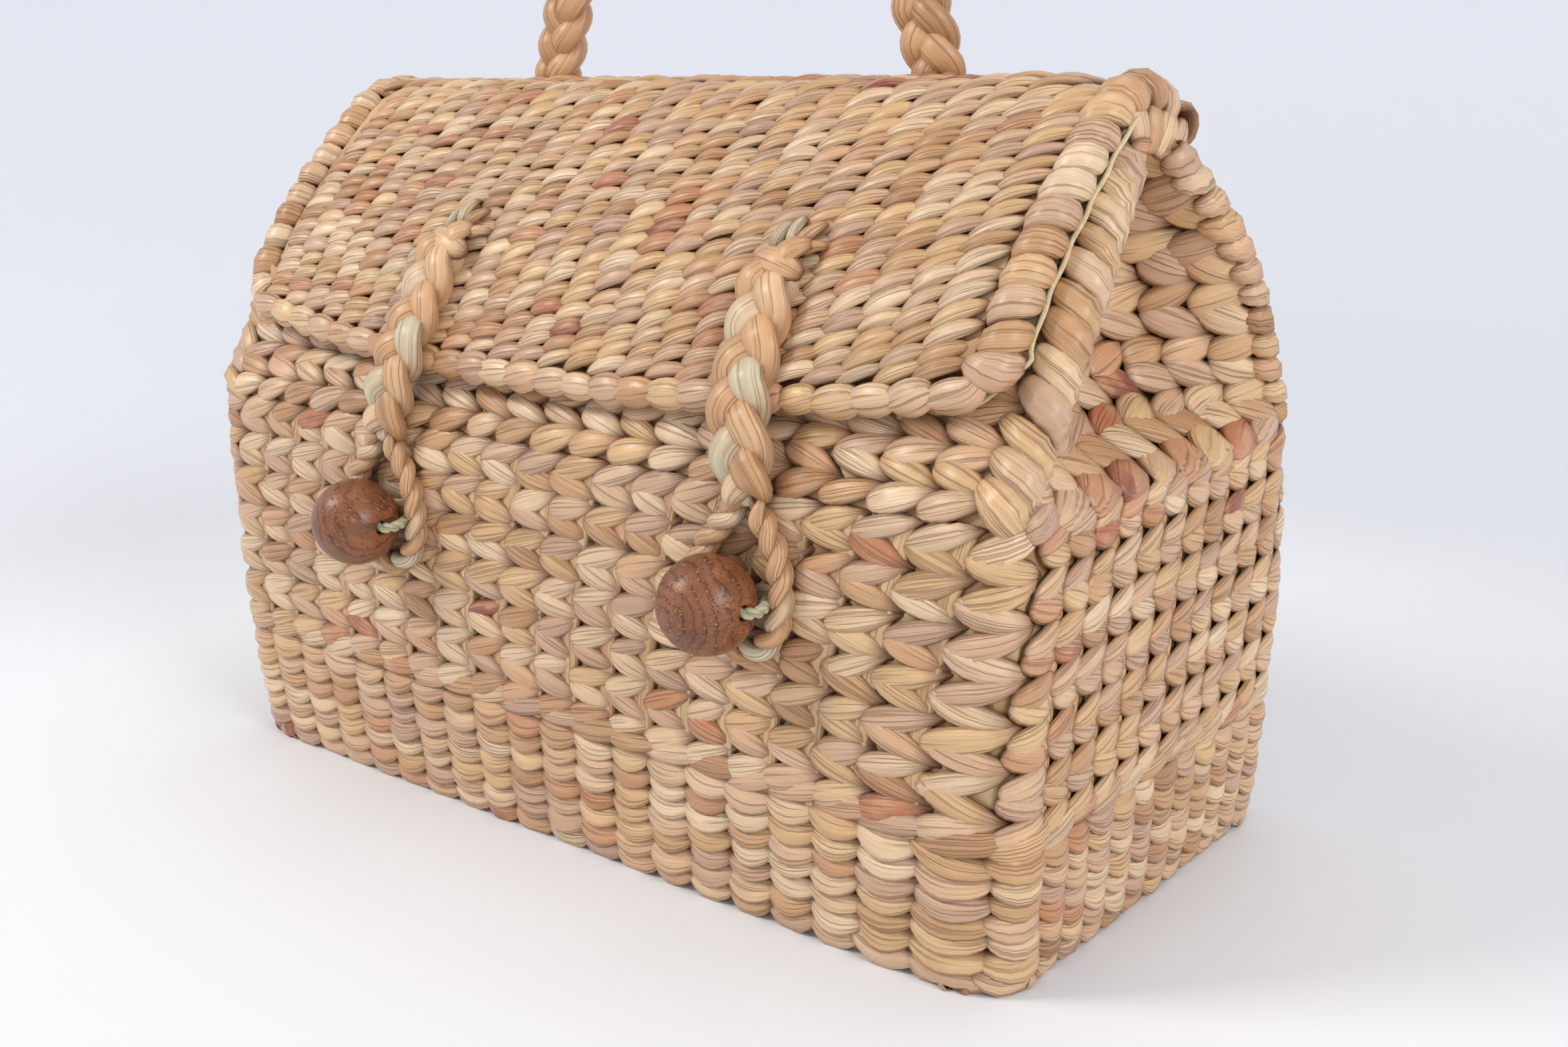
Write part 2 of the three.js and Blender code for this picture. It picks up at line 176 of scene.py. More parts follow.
def roof(facing):
    """The front panel for facing -1, the back panel for 1; u runs to the right seen from outside."""

    def panel(u, v):
        up = np.interp(v, ROOF_V, ROOF_UPS)
        beyond = v - np.clip(v, ROOF_V[0], ROOF_V[-1])
        x = -facing * u * column(ROOF, "width", up)
        y = np.interp(v, ROOF_V, ROOF_Y) * facing
        z = np.interp(v, ROOF_V, ROOF_Z) + beyond
        return np.stack([x, y, z], -1)

    return panel


print("the slope is", round(ROOF_V[-1], 1), "mm long")

# %% [markdown]
# ## The folded ends
# Each end between the two panels is a gusset, pushed in like the end of a paper bag. Its depth
# is a power curve across the fold. The curve's real length is worked out at many heights, so
# that stitches keep their width where the fold is steep.

# %% Gussets
GUSSET_SHARE = np.linspace(0, 1, 61)
GUSSET_LIP = 8.0
GUSSET_STEP = 2.0
STEP_RISE = 0.12
FOLD_POWER = 2.4
PROUD = 0.8
TUCK_IN = 0.4
TUCK_SIDEWAYS = 0.9


def gusset_shape(up):
    """Half the bag's width, half the fold's span and the fold's depth, at a share of the height."""
    half_x = SHOULDER[0] * column(ROOF, "width", up) - GUSSET_STEP * np.clip(up / STEP_RISE, 0, 1)
    fold_half = mix(RIDGE_HALF, SHOULDER[1], column(ROOF, "depth", up)) - GUSSET_LIP
    return half_x, fold_half, GUSSET_FOLD * column(ROOF, "fold", up)


def gusset_lengths():
    """Real length along the fold's curve from its middle outwards, one row for each height."""
    fold_half, fold = gusset_shape(ROOF_UPS)[1:]
    y = fold_half[:, None] * GUSSET_SHARE
    x = -fold[:, None] * (1 - GUSSET_SHARE**FOLD_POWER)
    step = np.hypot(np.diff(y, axis=1), np.diff(x, axis=1))
    return np.c_[np.zeros(len(y)), np.cumsum(step, axis=1)]


GUSSET_LENGTH = gusset_lengths()


def gusset(end):
    """The right-hand end for 1, the left-hand end for -1; v is height above the shoulder."""

    def face(u, v):
        up = np.clip(v / (BODY_Z - SHOULDER_Z), 0, 1)
        row = np.clip(np.round(up * (len(ROOF_UPS) - 1)).astype(int), 0, len(ROOF_UPS) - 1)
        share = np.zeros_like(u)
        for r in np.unique(row):
            here = row == r
            share[here] = np.interp(np.abs(u[here]), GUSSET_LENGTH[r], GUSSET_SHARE)
        over = np.maximum(np.abs(u) - GUSSET_LENGTH[row, -1], 0)
        half_x, fold_half, fold = gusset_shape(up)
        x = half_x + PROUD - fold * (1 - share**FOLD_POWER) - TUCK_IN * over
        y = np.sign(u) * (share * fold_half + TUCK_SIDEWAYS * over) * end
        return np.stack([x * end, y, SHOULDER_Z + v], -1)

    return face


def gusset_half(v):
    """Real length from the gusset's fold to its edge, at a height above the shoulder."""
    return np.interp(v / (BODY_Z - SHOULDER_Z), ROOF_UPS, GUSSET_LENGTH[:, -1])


print("gusset is", round(2 * gusset_half(10)), "mm across low down,", round(2 * gusset_half(70)), "high up")

# %% [markdown]
# ## The lid
# The lid follows the front slope, bends over the open mouth and is sewn to the back panel. Its
# lower edge hangs lowest in the middle, so rows of reed are spaced by share between that edge
# and the seam. Offset lines of the ridge give its two faces.

# %% The lid
MOUTH_RADIUS = (RIDGE_HALF**2 + LID_RISE**2) / (2 * LID_RISE)
LINE_STEPS = 260
FRONT_SLOPE = slice(0, 150)
EASING = 13


def ridge_line():
    """Depth and height down the front slope and over the mouth, in small even steps."""
    sweep = np.linspace(-1, 1, 80) * math.asin(RIDGE_HALF / MOUTH_RADIUS)
    arc_y = MOUTH_RADIUS * np.sin(sweep)
    arc_z = BODY_Z + LID_RISE - MOUTH_RADIUS * (1 - np.cos(sweep))
    y, z = np.r_[-ROOF_Y, arc_y[1:]], np.r_[ROOF_Z, arc_z[1:]]
    length = np.r_[0, np.cumsum(np.hypot(np.diff(y), np.diff(z)))]
    even = np.linspace(0, length[-1], LINE_STEPS)
    return even, np.interp(even, length, y), np.interp(even, length, z)


LINE_V, LINE_Y, LINE_Z = ridge_line()
EASING_WINDOW = np.hanning(2 * EASING + 1)
SMOOTH = EASING_WINDOW / EASING_WINDOW.sum()
LINE_TY = np.convolve(np.pad(np.gradient(LINE_Y, LINE_V), EASING, mode="edge"), SMOOTH, "valid")
LINE_TZ = np.convolve(np.pad(np.gradient(LINE_Z, LINE_V), EASING, mode="edge"), SMOOTH, "valid")
LID_RUN = LINE_V[-1] - np.interp(LID_EDGE_Z, LINE_Z[FRONT_SLOPE], LINE_V[FRONT_SLOPE])


def lid_start(x):
    """Where on the ridge line the lid's lower edge is, at a place across the bag."""
    z = LID_EDGE_Z + LID_SAG * np.abs(x / LID_HALF) ** 2.2
    return np.interp(z, LINE_Z[FRONT_SLOPE], LINE_V[FRONT_SLOPE])


def lid(distance):
    """The lid's surface at a distance from the body; v runs from the lower edge to the seam."""

    def face(u, v):
        start = lid_start(np.clip(u, -LID_HALF, LID_HALF))
        line = start + v / LID_RUN * (LINE_V[-1] - start)
        y, z = np.interp(line, LINE_V, LINE_Y), np.interp(line, LINE_V, LINE_Z)
        ty, tz = np.interp(line, LINE_V, LINE_TY), np.interp(line, LINE_V, LINE_TZ)
        size = np.hypot(ty, tz)
        low = np.minimum(line - LINE_V[0], 0) + np.maximum(line - LINE_V[-1], 0)
        y, z = y + low * ty / size, z + low * tz / size
        return np.stack([u, y - distance * tz / size, z + distance * ty / size], -1)

    return face


LID_NEAR = 2 * SEAT + LINING
LID_TOP = LID_NEAR + LID_THICKNESS
print("the lid runs", round(LID_RUN, 1), "mm from its edge to the seam")

# %% [markdown]
# ## Materials
# Water reed is a flat, hollow stem. Dried and twisted it keeps fine grooves along its length and
# a waxy skin that shines softly. The tone changes from stem to stem, from cream to tan, and a few
# stems carry rusty stains. The grooves follow each stitch, so the stitches carry attributes that
# say how far along and across the reed a point is, which reed it belongs to, and how high it
# stands, which the material uses to paint shade where a point lies low.

# %% Colour and node helpers
def srgb(text, alpha=1.0):
    """A hex colour as the linear values that a shader wants."""
    parts = [int(text[i : i + 2], 16) / 255 for i in (1, 3, 5)]
    return [c / 12.92 if c <= 0.04045 else ((c + 0.055) / 1.055) ** 2.4 for c in parts] + [alpha]


def add(tree, kind, settings=None, stops=(), **links):
    """Adds a node: _2 is its third input, and a link is a socket to join or a value to set.

    A colour ramp also gets stops, each a place and a hex colour.
    """
    node = tree.nodes.new(kind)
    for name, value in (settings or {}).items():
        setattr(node, name, value)
    for name, value in links.items():
        socket = node.inputs[int(name[1:])] if name[0] == "_" else node.inputs[name.replace("_", " ")]
        if isinstance(value, bpy.types.NodeSocket):
            tree.links.new(value, socket)
        else:
            socket.default_value = value
    for i, (place, colour) in enumerate(stops):
        elements = node.color_ramp.elements
        element = elements[i] if i < 2 else elements.new(place)
        element.position = place
        element.color = srgb(colour)
    return node


def new_material(name, **constants):
    """A material with its node tree and shader; the constants go straight on the shader's sockets."""
    material = bpy.data.materials.new(name)
    material.use_nodes = True
    tree = material.node_tree
    shader = tree.nodes["Principled BSDF"]
    for socket, value in constants.items():
        shader.inputs[socket.replace("_", " ")].default_value = value
    return material, tree, shader


# %% [markdown]
# The reed's skin could be a picture of straw, but that would slide on curved stitches. Noise that
# is drawn out along each stem makes the grooves and streaks instead. Shade is painted into the
# colour where a stitch lies low, darkest at its edges where little light gets in, and in its
# grooves; its crest keeps a soft, waxy shine.

# %% Reed, as it shows in a stitch
REED_TONES = [
    (0.00, "#BC8A60"), (0.14, "#D3A676"), (0.30, "#DFB684"), (0.46, "#E9CAA4"), (0.60, "#DBB48E"),
    (0.74, "#C9A184"), (0.86, "#DFB48B"), (0.94, "#D09A6F"), (1.00, "#CB9169"),
]
STAINS = [(0.95, "#C99368"), (0.98, "#C07F55"), (0.992, "#AC6040"), (1.00, "#874336")]
FIRST_STAINED_TONE = 0.962
GROOVE_SHADE = 0.48
GROOVE_DEPTH = 0.28 * MM


def reed_material(name, tones, crevice_shade, gloss):
    """Dried water reed: satin, with grooves about 0.45 mm apart that run along the stem, and painted shade
    where a stitch lies low and in its grooves.
    """
    material, tree, shader = new_material(name, IOR=1.47, Coat_Weight=0.35, Coat_Roughness=0.28)
    fibre = add(tree, "ShaderNodeAttribute", {"attribute_name": "fibre"}).outputs["Vector"]
    tone = add(tree, "ShaderNodeAttribute", {"attribute_name": "tone"}).outputs["Fac"]
    relief = add(tree, "ShaderNodeAttribute", {"attribute_name": "relief"}).outputs["Fac"]

    def streaks(along, across, detail):
        """Noise drawn out along the stem, with its waves to the millimetre in each direction."""
        scaled = add(tree, "ShaderNodeVectorMath", {"operation": "MULTIPLY"}, _0=fibre,
                     _1=(along, across, 1.0)).outputs[0]
        return add(tree, "ShaderNodeTexNoise", Vector=scaled, Scale=1.0, Detail=detail,
                   Roughness=0.55).outputs["Fac"]

    fine = streaks(0.05, 5.0, 2.0)
    broad = streaks(0.05, 0.55, 1.0)
    groove = add(tree, "ShaderNodeMapRange", _0=streaks(0.03, 2.3, 1.0), _1=0.34, _2=0.44, _3=1.0,
                 _4=0.0).outputs[0]
    body = add(tree, "ShaderNodeValToRGB", stops=tones, _0=tone).outputs["Color"]
    light = add(tree, "ShaderNodeMapRange", _0=broad, _1=0.3, _2=0.7, _3=0.9, _4=1.06).outputs[0]
    thread = add(tree, "ShaderNodeMapRange", _0=fine, _1=0.34, _2=0.62, _3=0.86, _4=1.04).outputs[0]
    tint = add(tree, "ShaderNodeMath", {"operation": "MULTIPLY"}, _0=light, _1=thread).outputs[0]
    threaded = add(tree, "ShaderNodeMix", {"data_type": "RGBA", "blend_type": "MULTIPLY"}, _0=1.0,
                   _6=body, _7=tint).outputs[2]
    patch = streaks(0.10, 0.28, 2.0)
    few = add(tree, "ShaderNodeMapRange", _0=tone, _1=FIRST_STAINED_TONE, _2=0.968, _3=0.0,
              _4=1.0).outputs[0]
    spread = add(tree, "ShaderNodeMapRange", _0=patch, _1=0.38, _2=0.58, _3=0.05, _4=0.95).outputs[0]
    stain = add(tree, "ShaderNodeMath", {"operation": "MULTIPLY"}, _0=few, _1=spread).outputs[0]
    faint = add(tree, "ShaderNodeMapRange", _0=patch, _1=0.62, _2=0.84, _3=0.0, _4=0.35).outputs[0]
    blush = add(tree, "ShaderNodeMath", {"operation": "MAXIMUM"}, _0=stain, _1=faint).outputs[0]
    rust = add(tree, "ShaderNodeValToRGB", stops=STAINS, _0=tone).outputs["Color"]
    stained = add(tree, "ShaderNodeMix", {"data_type": "RGBA"}, _0=blush, _6=threaded,
                  _7=rust).outputs[2]
    # painted shade: the colour is mixed towards the crevice shade where a stitch lies low, and in its
    # grooves
    depth = add(tree, "ShaderNodeMapRange", _0=relief, _1=0.04, _2=0.58, _3=1.0, _4=0.0).outputs[0]
    grooved = add(tree, "ShaderNodeMath", {"operation": "MULTIPLY"}, _0=groove,
                  _1=GROOVE_SHADE).outputs[0]
    painted_shade = add(tree, "ShaderNodeMath", {"operation": "MAXIMUM"}, _0=depth, _1=grooved).outputs[0]
    colour = add(tree, "ShaderNodeMix", {"data_type": "RGBA"}, _0=painted_shade, _6=stained,
                 _7=srgb(crevice_shade)).outputs[2]
    rough = add(tree, "ShaderNodeMapRange", _0=broad, _1=0.3, _2=0.7, _3=gloss + 0.14,
                _4=gloss).outputs[0]
    high = add(tree, "ShaderNodeMath", {"operation": "SUBTRACT"}, _0=fine, _1=groove).outputs[0]
    bump = add(tree, "ShaderNodeBump", Strength=0.95, Distance=GROOVE_DEPTH, Height=high).outputs[0]
    tree.links.new(colour, shader.inputs["Base Color"])
    tree.links.new(rough, shader.inputs["Roughness"])
    tree.links.new(bump, shader.inputs["Normal"])
    return material


# 7A4B28 is the painted shade for the hollows and grooves of the stitches
reed_skin = reed_material("dried water reed", REED_TONES, "#7A4B28", 0.3)
print("reed material with", len(reed_skin.node_tree.nodes), "nodes")

# %% [markdown]
# ## One stem of reed
# A single shape serves for every stitch, wrap and braid strand: a closed form with a pole at each
# end, swept from a sphere. `stem()` gives it as shares: how far along it each point is, and the
# direction it lies in round the stem. It has few faces, because it is repeated thousands of times.

# %% The stem
REED_ACROSS = 7.0


def stem(around, rings):
    """The points of a turned sphere as shares along, to the side and upwards, with its faces."""
    bm = bmesh.new()
    bmesh.ops.create_uvsphere(bm, u_segments=around, v_segments=rings, radius=1.0)
    bmesh.ops.rotate(bm, verts=bm.verts, matrix=Matrix.Rotation(math.radians(90), 3, "Y"))
    bmesh.ops.recalc_face_normals(bm, faces=bm.faces)
    bm.verts.index_update()
    co = np.array([v.co for v in bm.verts])
    faces = [[v.index for v in f.verts] for f in bm.faces]
    bm.free()
    ring = np.round(np.arccos(np.clip(-co[:, 0], -1, 1)) / math.pi * rings)
    radius = np.hypot(co[:, 1], co[:, 2])
    safe = np.where(radius > 1e-6, radius, 1)
    return {
        "along": ring / rings,
        "eased": (co[:, 0] + 1) / 2,
        "side": np.where(radius > 1e-6, co[:, 1] / safe, 0),
        "top": np.where(radius > 1e-6, co[:, 2] / safe, 0),
        "faces": faces,
    }


def across_reed(part):
    """How far across the reed a point is, in mm, mirrored underneath."""
    return np.arccos(np.clip(part["side"], -1, 1)) / math.pi * REED_ACROSS


STITCH = stem(8, 10)
print("a stitch has", len(STITCH["faces"]), "faces")

# %% [markdown]
# ## Many stems in one mesh
# Thousands of separate objects would be slow. All the points of a piece are worked out as one
# array, and its faces are the stem's own faces, shifted for each copy.

# %% Joining copies into a piece
def join(name, points, faces, fibre, tone, relief, material):
    """points is (copies, points of a stem, 3) in millimetres; the piece is joined and smooth."""
    copies, size = points.shape[:2]
    loops = np.array([i for face in faces for i in face])
    totals = np.array([len(face) for face in faces])
    shift = np.arange(copies)[:, None] * size
    mesh = bpy.data.meshes.new(name)
    mesh.vertices.add(copies * size)
    mesh.vertices.foreach_set("co", (points.reshape(-1) * MM).astype(np.float32))
    mesh.loops.add(copies * len(loops))
    mesh.loops.foreach_set("vertex_index", (loops[None] + shift).reshape(-1).astype(np.int32))
    mesh.polygons.add(copies * len(faces))
    starts = np.r_[0, np.cumsum(totals)[:-1]][None] + np.arange(copies)[:, None] * len(loops)
    mesh.polygons.foreach_set("loop_start", starts.reshape(-1).astype(np.int32))
    mesh.update(calc_edges=True)
    for label, kind, value in (("fibre", "FLOAT_VECTOR", fibre), ("tone", "FLOAT", tone),
                               ("relief", "FLOAT", relief)):
        attribute = mesh.attributes.new(label, kind, "POINT")
        key = "vector" if kind == "FLOAT_VECTOR" else "value"
        attribute.data.foreach_set(key, np.ascontiguousarray(value, np.float32).reshape(-1))
    mesh.shade_smooth()
    mesh.validate()
    piece = bpy.data.objects.new(name, mesh)
    bpy.context.scene.collection.objects.link(piece)
    mesh.materials.append(material)
    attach(piece, "root")
    print(f"{name}: {copies} stems, {copies * int((totals - 2).sum())} triangles")
    return piece


def outward(surface, u, v):
    """The direction square to a surface, from points a little to either side."""
    reach = 0.6
    du = surface(u + reach, v) - surface(u - reach, v)
    dv = surface(u, v + reach) - surface(u, v - reach)
    normal = np.cross(du, dv)
    return normal / np.maximum(np.linalg.norm(normal, axis=-1, keepdims=True), 1e-9)


# %% [markdown]
# ## Laying stitches
# A stitch comes up from behind the last one, swells over a stake and dives under the next. Its
# head is blunt and its tail thin, which gives woven reed its fish-scale look. `Form` holds those
# habits for each kind of stitch, and `lay` puts one stitch at each spot of a surface.

# %% Forms of stitch
class Form:
    """The habits of one kind of stitch.

    head, tail and crest are powers that shape its outline, shed is how steeply it leans, and the
    others are in mm: lift over the stake, sink and dive at its ends, plump and sideways bow.
    """

    def __init__(self, head=0.4, tail=0.72, lift=1.6, crest=0.78, sink=0.6, dive=1.9, plump=1.45,
                 bow=0.0, shed=0.0):
        self.head, self.tail, self.lift, self.crest = head, tail, lift, crest
        self.sink, self.dive, self.plump, self.bow, self.shed = sink, dive, plump, bow, shed

    def fullness(self, t):
        """How wide the stitch is along its length, 0 at its ends and 1 where it is widest."""
        shape = np.maximum(t, 1e-9) ** self.head * np.maximum(1 - t, 1e-9) ** self.tail
        best = self.head / (self.head + self.tail)
        widest = best**self.head * (1 - best) ** self.tail
        return np.where((t < 1e-6) | (t > 1 - 1e-6), 0, shape / widest)


TWINED = Form()
SHINGLE = Form(head=0.42, tail=0.42, lift=1.3, crest=0.95, sink=1.0, dive=1.2, plump=1.5, bow=1.9,
               shed=0.34)
LONG_WRAP = Form(head=0.5, tail=0.6, lift=1.6, crest=1.0, sink=0.7, dive=1.2, plump=1.4)
GRAIN = Form(head=0.45, tail=0.55, lift=1.6, crest=0.9, sink=1.0, dive=1.4, plump=1.8, bow=-0.9,
             shed=0.16)
KNOT = Form(head=0.3, tail=0.35, lift=2.4, crest=1.0, sink=1.0, dive=1.2, plump=2.1)
CUSHION = Form(head=0.28, tail=0.28, lift=0.9, crest=1.0, sink=0.7, dive=0.7, plump=2.3)
FLOOR_GAP = 0.15
UNDER_SIDE = 0.55


def lay(name, surface, spots, form, material=reed_skin, wild=1.0, tones=(0, 1)):
    """spots has columns u, v, length, width and turn in degrees; wild scales all irregularity."""
    u, v, length, width, turn = np.asarray(spots, float).T
    count = len(u)
    u = u + rng.normal(0, 0.35 * wild, count)
    v = v + rng.normal(0, 0.28 * wild, count)
    length = length * (1 + rng.normal(0, 0.06 * wild, count))
    width = width * (1 + rng.normal(0, 0.09 * wild, count))
    turn = np.radians(turn + rng.normal(0, 3.2 * wild, count))
    raised = rng.normal(0, 0.22 * wild, count)[:, None]
    t = STITCH["eased"][None]
    full = form.fullness(t)
    arch = np.sin(math.pi * t**form.crest)
    a = length[:, None] * (t - 0.5)
    b = width[:, None] / 2 * full * STITCH["side"][None] - form.bow * (arch - 0.5)
    thick = form.plump * np.sqrt(full)
    dome = np.where(STITCH["top"][None] > 0, 1.0, UNDER_SIDE) * STITCH["top"][None]
    c = form.lift * arch - mix(form.sink, form.dive, t) + thick * dome + raised * arch - form.shed * b
    cos, sin = np.cos(turn)[:, None], np.sin(turn)[:, None]
    uu = (u[:, None] + a * cos - b * sin).reshape(-1)
    vv = (v[:, None] + a * sin + b * cos).reshape(-1)
    points = surface(uu, vv) + outward(surface, uu, vv) * c.reshape(-1)[:, None]
    points[:, 2] = np.maximum(points[:, 2], FLOOR_GAP)
    points = points.reshape(count, -1, 3)
    ones = np.ones_like(points[..., 0])
    across = across_reed(STITCH)[None]
    seed = rng.uniform(0, 900, count)[:, None]
    fibre = np.stack([a, across * ones, seed * ones], -1)
    tone = rng.uniform(tones[0], tones[1], count)[:, None] * ones
    # relief is how high a point stands on its stitch; the reed material paints shade where it is low
    relief = np.clip((c + 0.8) / (form.lift - form.sink + form.plump + 0.6), 0, 1)
    return join(name, points, STITCH["faces"], fibre, tone, relief * ones, material)

# %% [markdown]
# ## The stakes and the shell behind the stitches
# Between the stitches small patches of the upright stakes show. A thinned copy of the
# construction model's body closes the wall behind them and gives the bag its hollow inside.
# The stakes lean a little to the right as they rise, so the strip is sheared before it is used.

# %% Stakes and their lean
LEAN = 14.0
LEAN_FROM = 45.0
LEAN_POWER = 1.8
FRONT_COLUMNS = np.r_[np.ones(18), 1.2, 1.32]
SIDE_COLUMNS = 12
BACK_COLUMNS = 20


def leaning(u, v):
    """The wall, sheared to the right as it rises, gently at first."""
    rise = np.clip((v - LEAN_FROM) / (SHOULDER_Z - LEAN_FROM), 0, 1)
    return wall(u + LEAN * rise**LEAN_POWER, v)


def stations():
    """Middle and width of each column of stitches, once round the wall from the left front."""
    long_side, short_side = RING[0] + TURN, RING[2] + TURN
    side_widths = np.full(SIDE_COLUMNS, short_side / SIDE_COLUMNS)
    widths = np.r_[FRONT_COLUMNS / FRONT_COLUMNS.sum() * long_side, side_widths,
                   np.full(BACK_COLUMNS, long_side / BACK_COLUMNS), side_widths]
    starts = np.r_[0, np.cumsum(widths)[:-1]] - TURN / 2
    return starts + widths / 2, widths


STATION, STATION_WIDTH = stations()
print(len(STATION), "columns of stitches round the wall")

# %% [markdown]
# ## The shell
# Two plain materials go behind the stitches: split reed for the stakes, and a quiet ribbed reed for
# the inside. The inside could be woven too, but it is hardly ever seen, so bands and a bump as far
# apart as the rows stand in for them.

# %% Materials behind the stitches
# 8F6238 is the painted shade for the hollows and grooves of the stakes
core_reed = reed_material("split reed stake", [(0.0, "#C99D6C"), (0.5, "#D6AE7E"), (0.94, "#DDB98B")],
                          "#8F6238", 0.45)
inner_reed, tree, shader = new_material("reed seen from inside", IOR=1.45, Roughness=0.6)
INNER_RIB = 6.0 * MM
WAVE_UNIT = 20
place = add(tree, "ShaderNodeTexCoord").outputs["Object"]
ribs = add(tree, "ShaderNodeTexWave", {"bands_direction": "Z"}, Vector=place,
           Scale=1 / INNER_RIB / WAVE_UNIT, Distortion=1.5, Detail=1.0).outputs["Fac"]
inner_stops = [(0.0, "#A97E52"), (0.5, "#C49D70"), (1.0, "#D0AE82")]
inner_colour = add(tree, "ShaderNodeValToRGB", stops=inner_stops, _0=ribs).outputs["Color"]
tree.links.new(inner_colour, shader.inputs["Base Color"])
ribbed = add(tree, "ShaderNodeBump", Strength=0.6, Distance=1.0 * MM, Height=ribs).outputs[0]
tree.links.new(ribbed, shader.inputs["Normal"])
print("inside ribs are", INNER_RIB / MM, "mm apart")

# %% The shell
FOLD_FROM = 0.03
FOLD_REACH = 0.09


def thinned(name, node, inwards, material, ends=0.0):
    """A merged copy of a construction solid, drawn in under its skin, and more at its folded ends."""
    bm = bmesh.new()
    bm.from_mesh(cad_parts[node].data)
    bmesh.ops.remove_doubles(bm, verts=bm.verts, dist=0.02 * MM)
    bm.normal_update()
    for vert in bm.verts:
        vert.co -= vert.normal * inwards * MM
        up = (vert.co.z / MM - SHOULDER_Z) / (BODY_Z - SHOULDER_Z)
        half = mix(RIDGE_HALF, SHOULDER[1], float(column(ROOF, "depth", up))) - GUSSET_LIP
        if up > FOLD_FROM and abs(vert.co.y) < half * MM and abs(vert.co.x) > FOLD_REACH:
            vert.co.x -= math.copysign(ends * MM, vert.co.x)
    mesh = bpy.data.meshes.new(name)
    bm.to_mesh(mesh)
    bm.free()
    mesh.materials.clear()
    mesh.materials.append(material)
    piece = bpy.data.objects.new(name, mesh)
    bpy.context.scene.collection.objects.link(piece)
    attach(piece, "root")
    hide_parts(node)
    print(name, len(mesh.polygons), "faces")


thinned("basket_shell", "basket_body", 1.4, inner_reed, ends=3.0)
thinned("lid_core", "lid", 1.6, inner_reed)

# %% [markdown]
# A stake stands behind each gap between two columns, so that a glimpse between the stitches shows
# reed. The four at the corners would stick out of the rounded corner, so they are not laid.

# %% Stakes round the wall
CORNER_STAKES = [0, 20, 32, 52]
STAKE_SHIFT = 0.76
STAKE = Form(head=0.03, tail=0.03, lift=0.0, crest=1.0, sink=0.7, dive=0.7, plump=0.95)
BAND_TOP = 38.0
stake_low, stake_high = wall_v(BAND_TOP), wall_v(SHOULDER_Z - 1)
stake_u = np.delete(STATION - STAKE_SHIFT * STATION_WIDTH, CORNER_STAKES)
stake_spots = [(u, (stake_low + stake_high) / 2, stake_high - stake_low, 9.0, 90) for u in stake_u]
lay("wall_stakes", leaning, stake_spots, STAKE, core_reed, wild=0.2)

# %% [markdown]
# ## The walls
# The rows come in pairs. In one the stitches rise to the right, in the next they fall, and their
# tails meet in a point. Every stitch reaches past its own column, so that its thin tail ends
# under the next head. At the corner the last column of the front is a little wider.

# %% Wall rows
ROW = 6.0
OVERLAP = 5.8
SLANT = 17
FIRST_ROW_Z = 46.0


def chevron_rows(first, count, columns, widths, tall=8.0):
    """Rows of countered twining: even rows rise to the right and odd rows fall."""
    spots = []
    for k in range(count):
        turn = SLANT if k % 2 == 0 else -SLANT
        for u, width in zip(columns, widths):
            spots.append((u, first + k * ROW, width + OVERLAP, tall, turn))
    return spots


wall_first = wall_v(FIRST_ROW_Z)
wall_count = int((wall_v(SHOULDER_Z - 3) - wall_first) / ROW) + 1
lay("wall_weave", leaning, chevron_rows(wall_first, wall_count, STATION, STATION_WIDTH), TWINED)

# %% [markdown]
# The lowest part is worked the other way: short stitches stacked like shingles, each hanging
# over the one below. Long slanting wraps divide the two.

# %% Base band and the wraps above it
BAND_ROW = 5.4
BAND_ROWS = 8
band_spots = []
for k in range(BAND_ROWS):
    for u, width in zip(STATION, STATION_WIDTH):
        band_spots.append((u - 1.5, 1.6 + k * BAND_ROW, width + 4.2, 8.0, 0))
lay("base_band", wall, band_spots, SHINGLE)

wrap_spots = [(u + 2, wall_v(42.5), 1.75 * width, 6.8, 11) for u, width in zip(STATION, STATION_WIDTH)]
lay("divide_wraps", wall, wrap_spots, LONG_WRAP, wild=1.3)

# %% [markdown]
# The floor of the bag is woven in the same pairs of rows, but flatter, so that the bag stands
# well. At each corner of the hem a fringe of cut ends is left from the last row.

# %% Underside and cut ends
BOTTOM_Z = 2.4
BOTTOM_HALF_X = 138.0
BOTTOM_HALF_Y = 57.0
BOTTOM_COLUMNS = 20
BOTTOM = Form(lift=0.9, sink=0.7, dive=1.3, plump=1.1)
END = Form(head=0.2, tail=0.5, lift=0.9, sink=-0.6, dive=-0.9, plump=0.6)
FRINGE = ((-9, 0, -62), (-5.5, -1, -85), (3, 0.5, -70), (7.5, 1, -100), (11, 0, -80))


def underside(u, v):
    """The bottom, seen from below: u runs to the right and v to the front."""
    return np.stack([u, -v, np.full_like(u, BOTTOM_Z)], -1)


bottom_x = np.linspace(-BOTTOM_HALF_X, BOTTOM_HALF_X, BOTTOM_COLUMNS)
bottom_widths = np.full(BOTTOM_COLUMNS, bottom_x[1] - bottom_x[0])
bottom_spots = chevron_rows(-BOTTOM_HALF_Y, 20, bottom_x, bottom_widths)
lay("underside_weave", underside, bottom_spots, BOTTOM)

corner_u = RING_STARTS[1::2] + TURN / 2
end_spots = [(corner + out, 3.0 + up, 6.5, 2.0, turn) for corner in corner_u for out, up, turn in FRINGE]
lay("hem_cut_ends", wall, end_spots, END, wild=1.6)

# %% [markdown]
# The back panel goes on in the same pairs up to the ridge. The front panel is the same, but the
# lid hides nearly all of it, so only the low rows and the outer columns are laid.

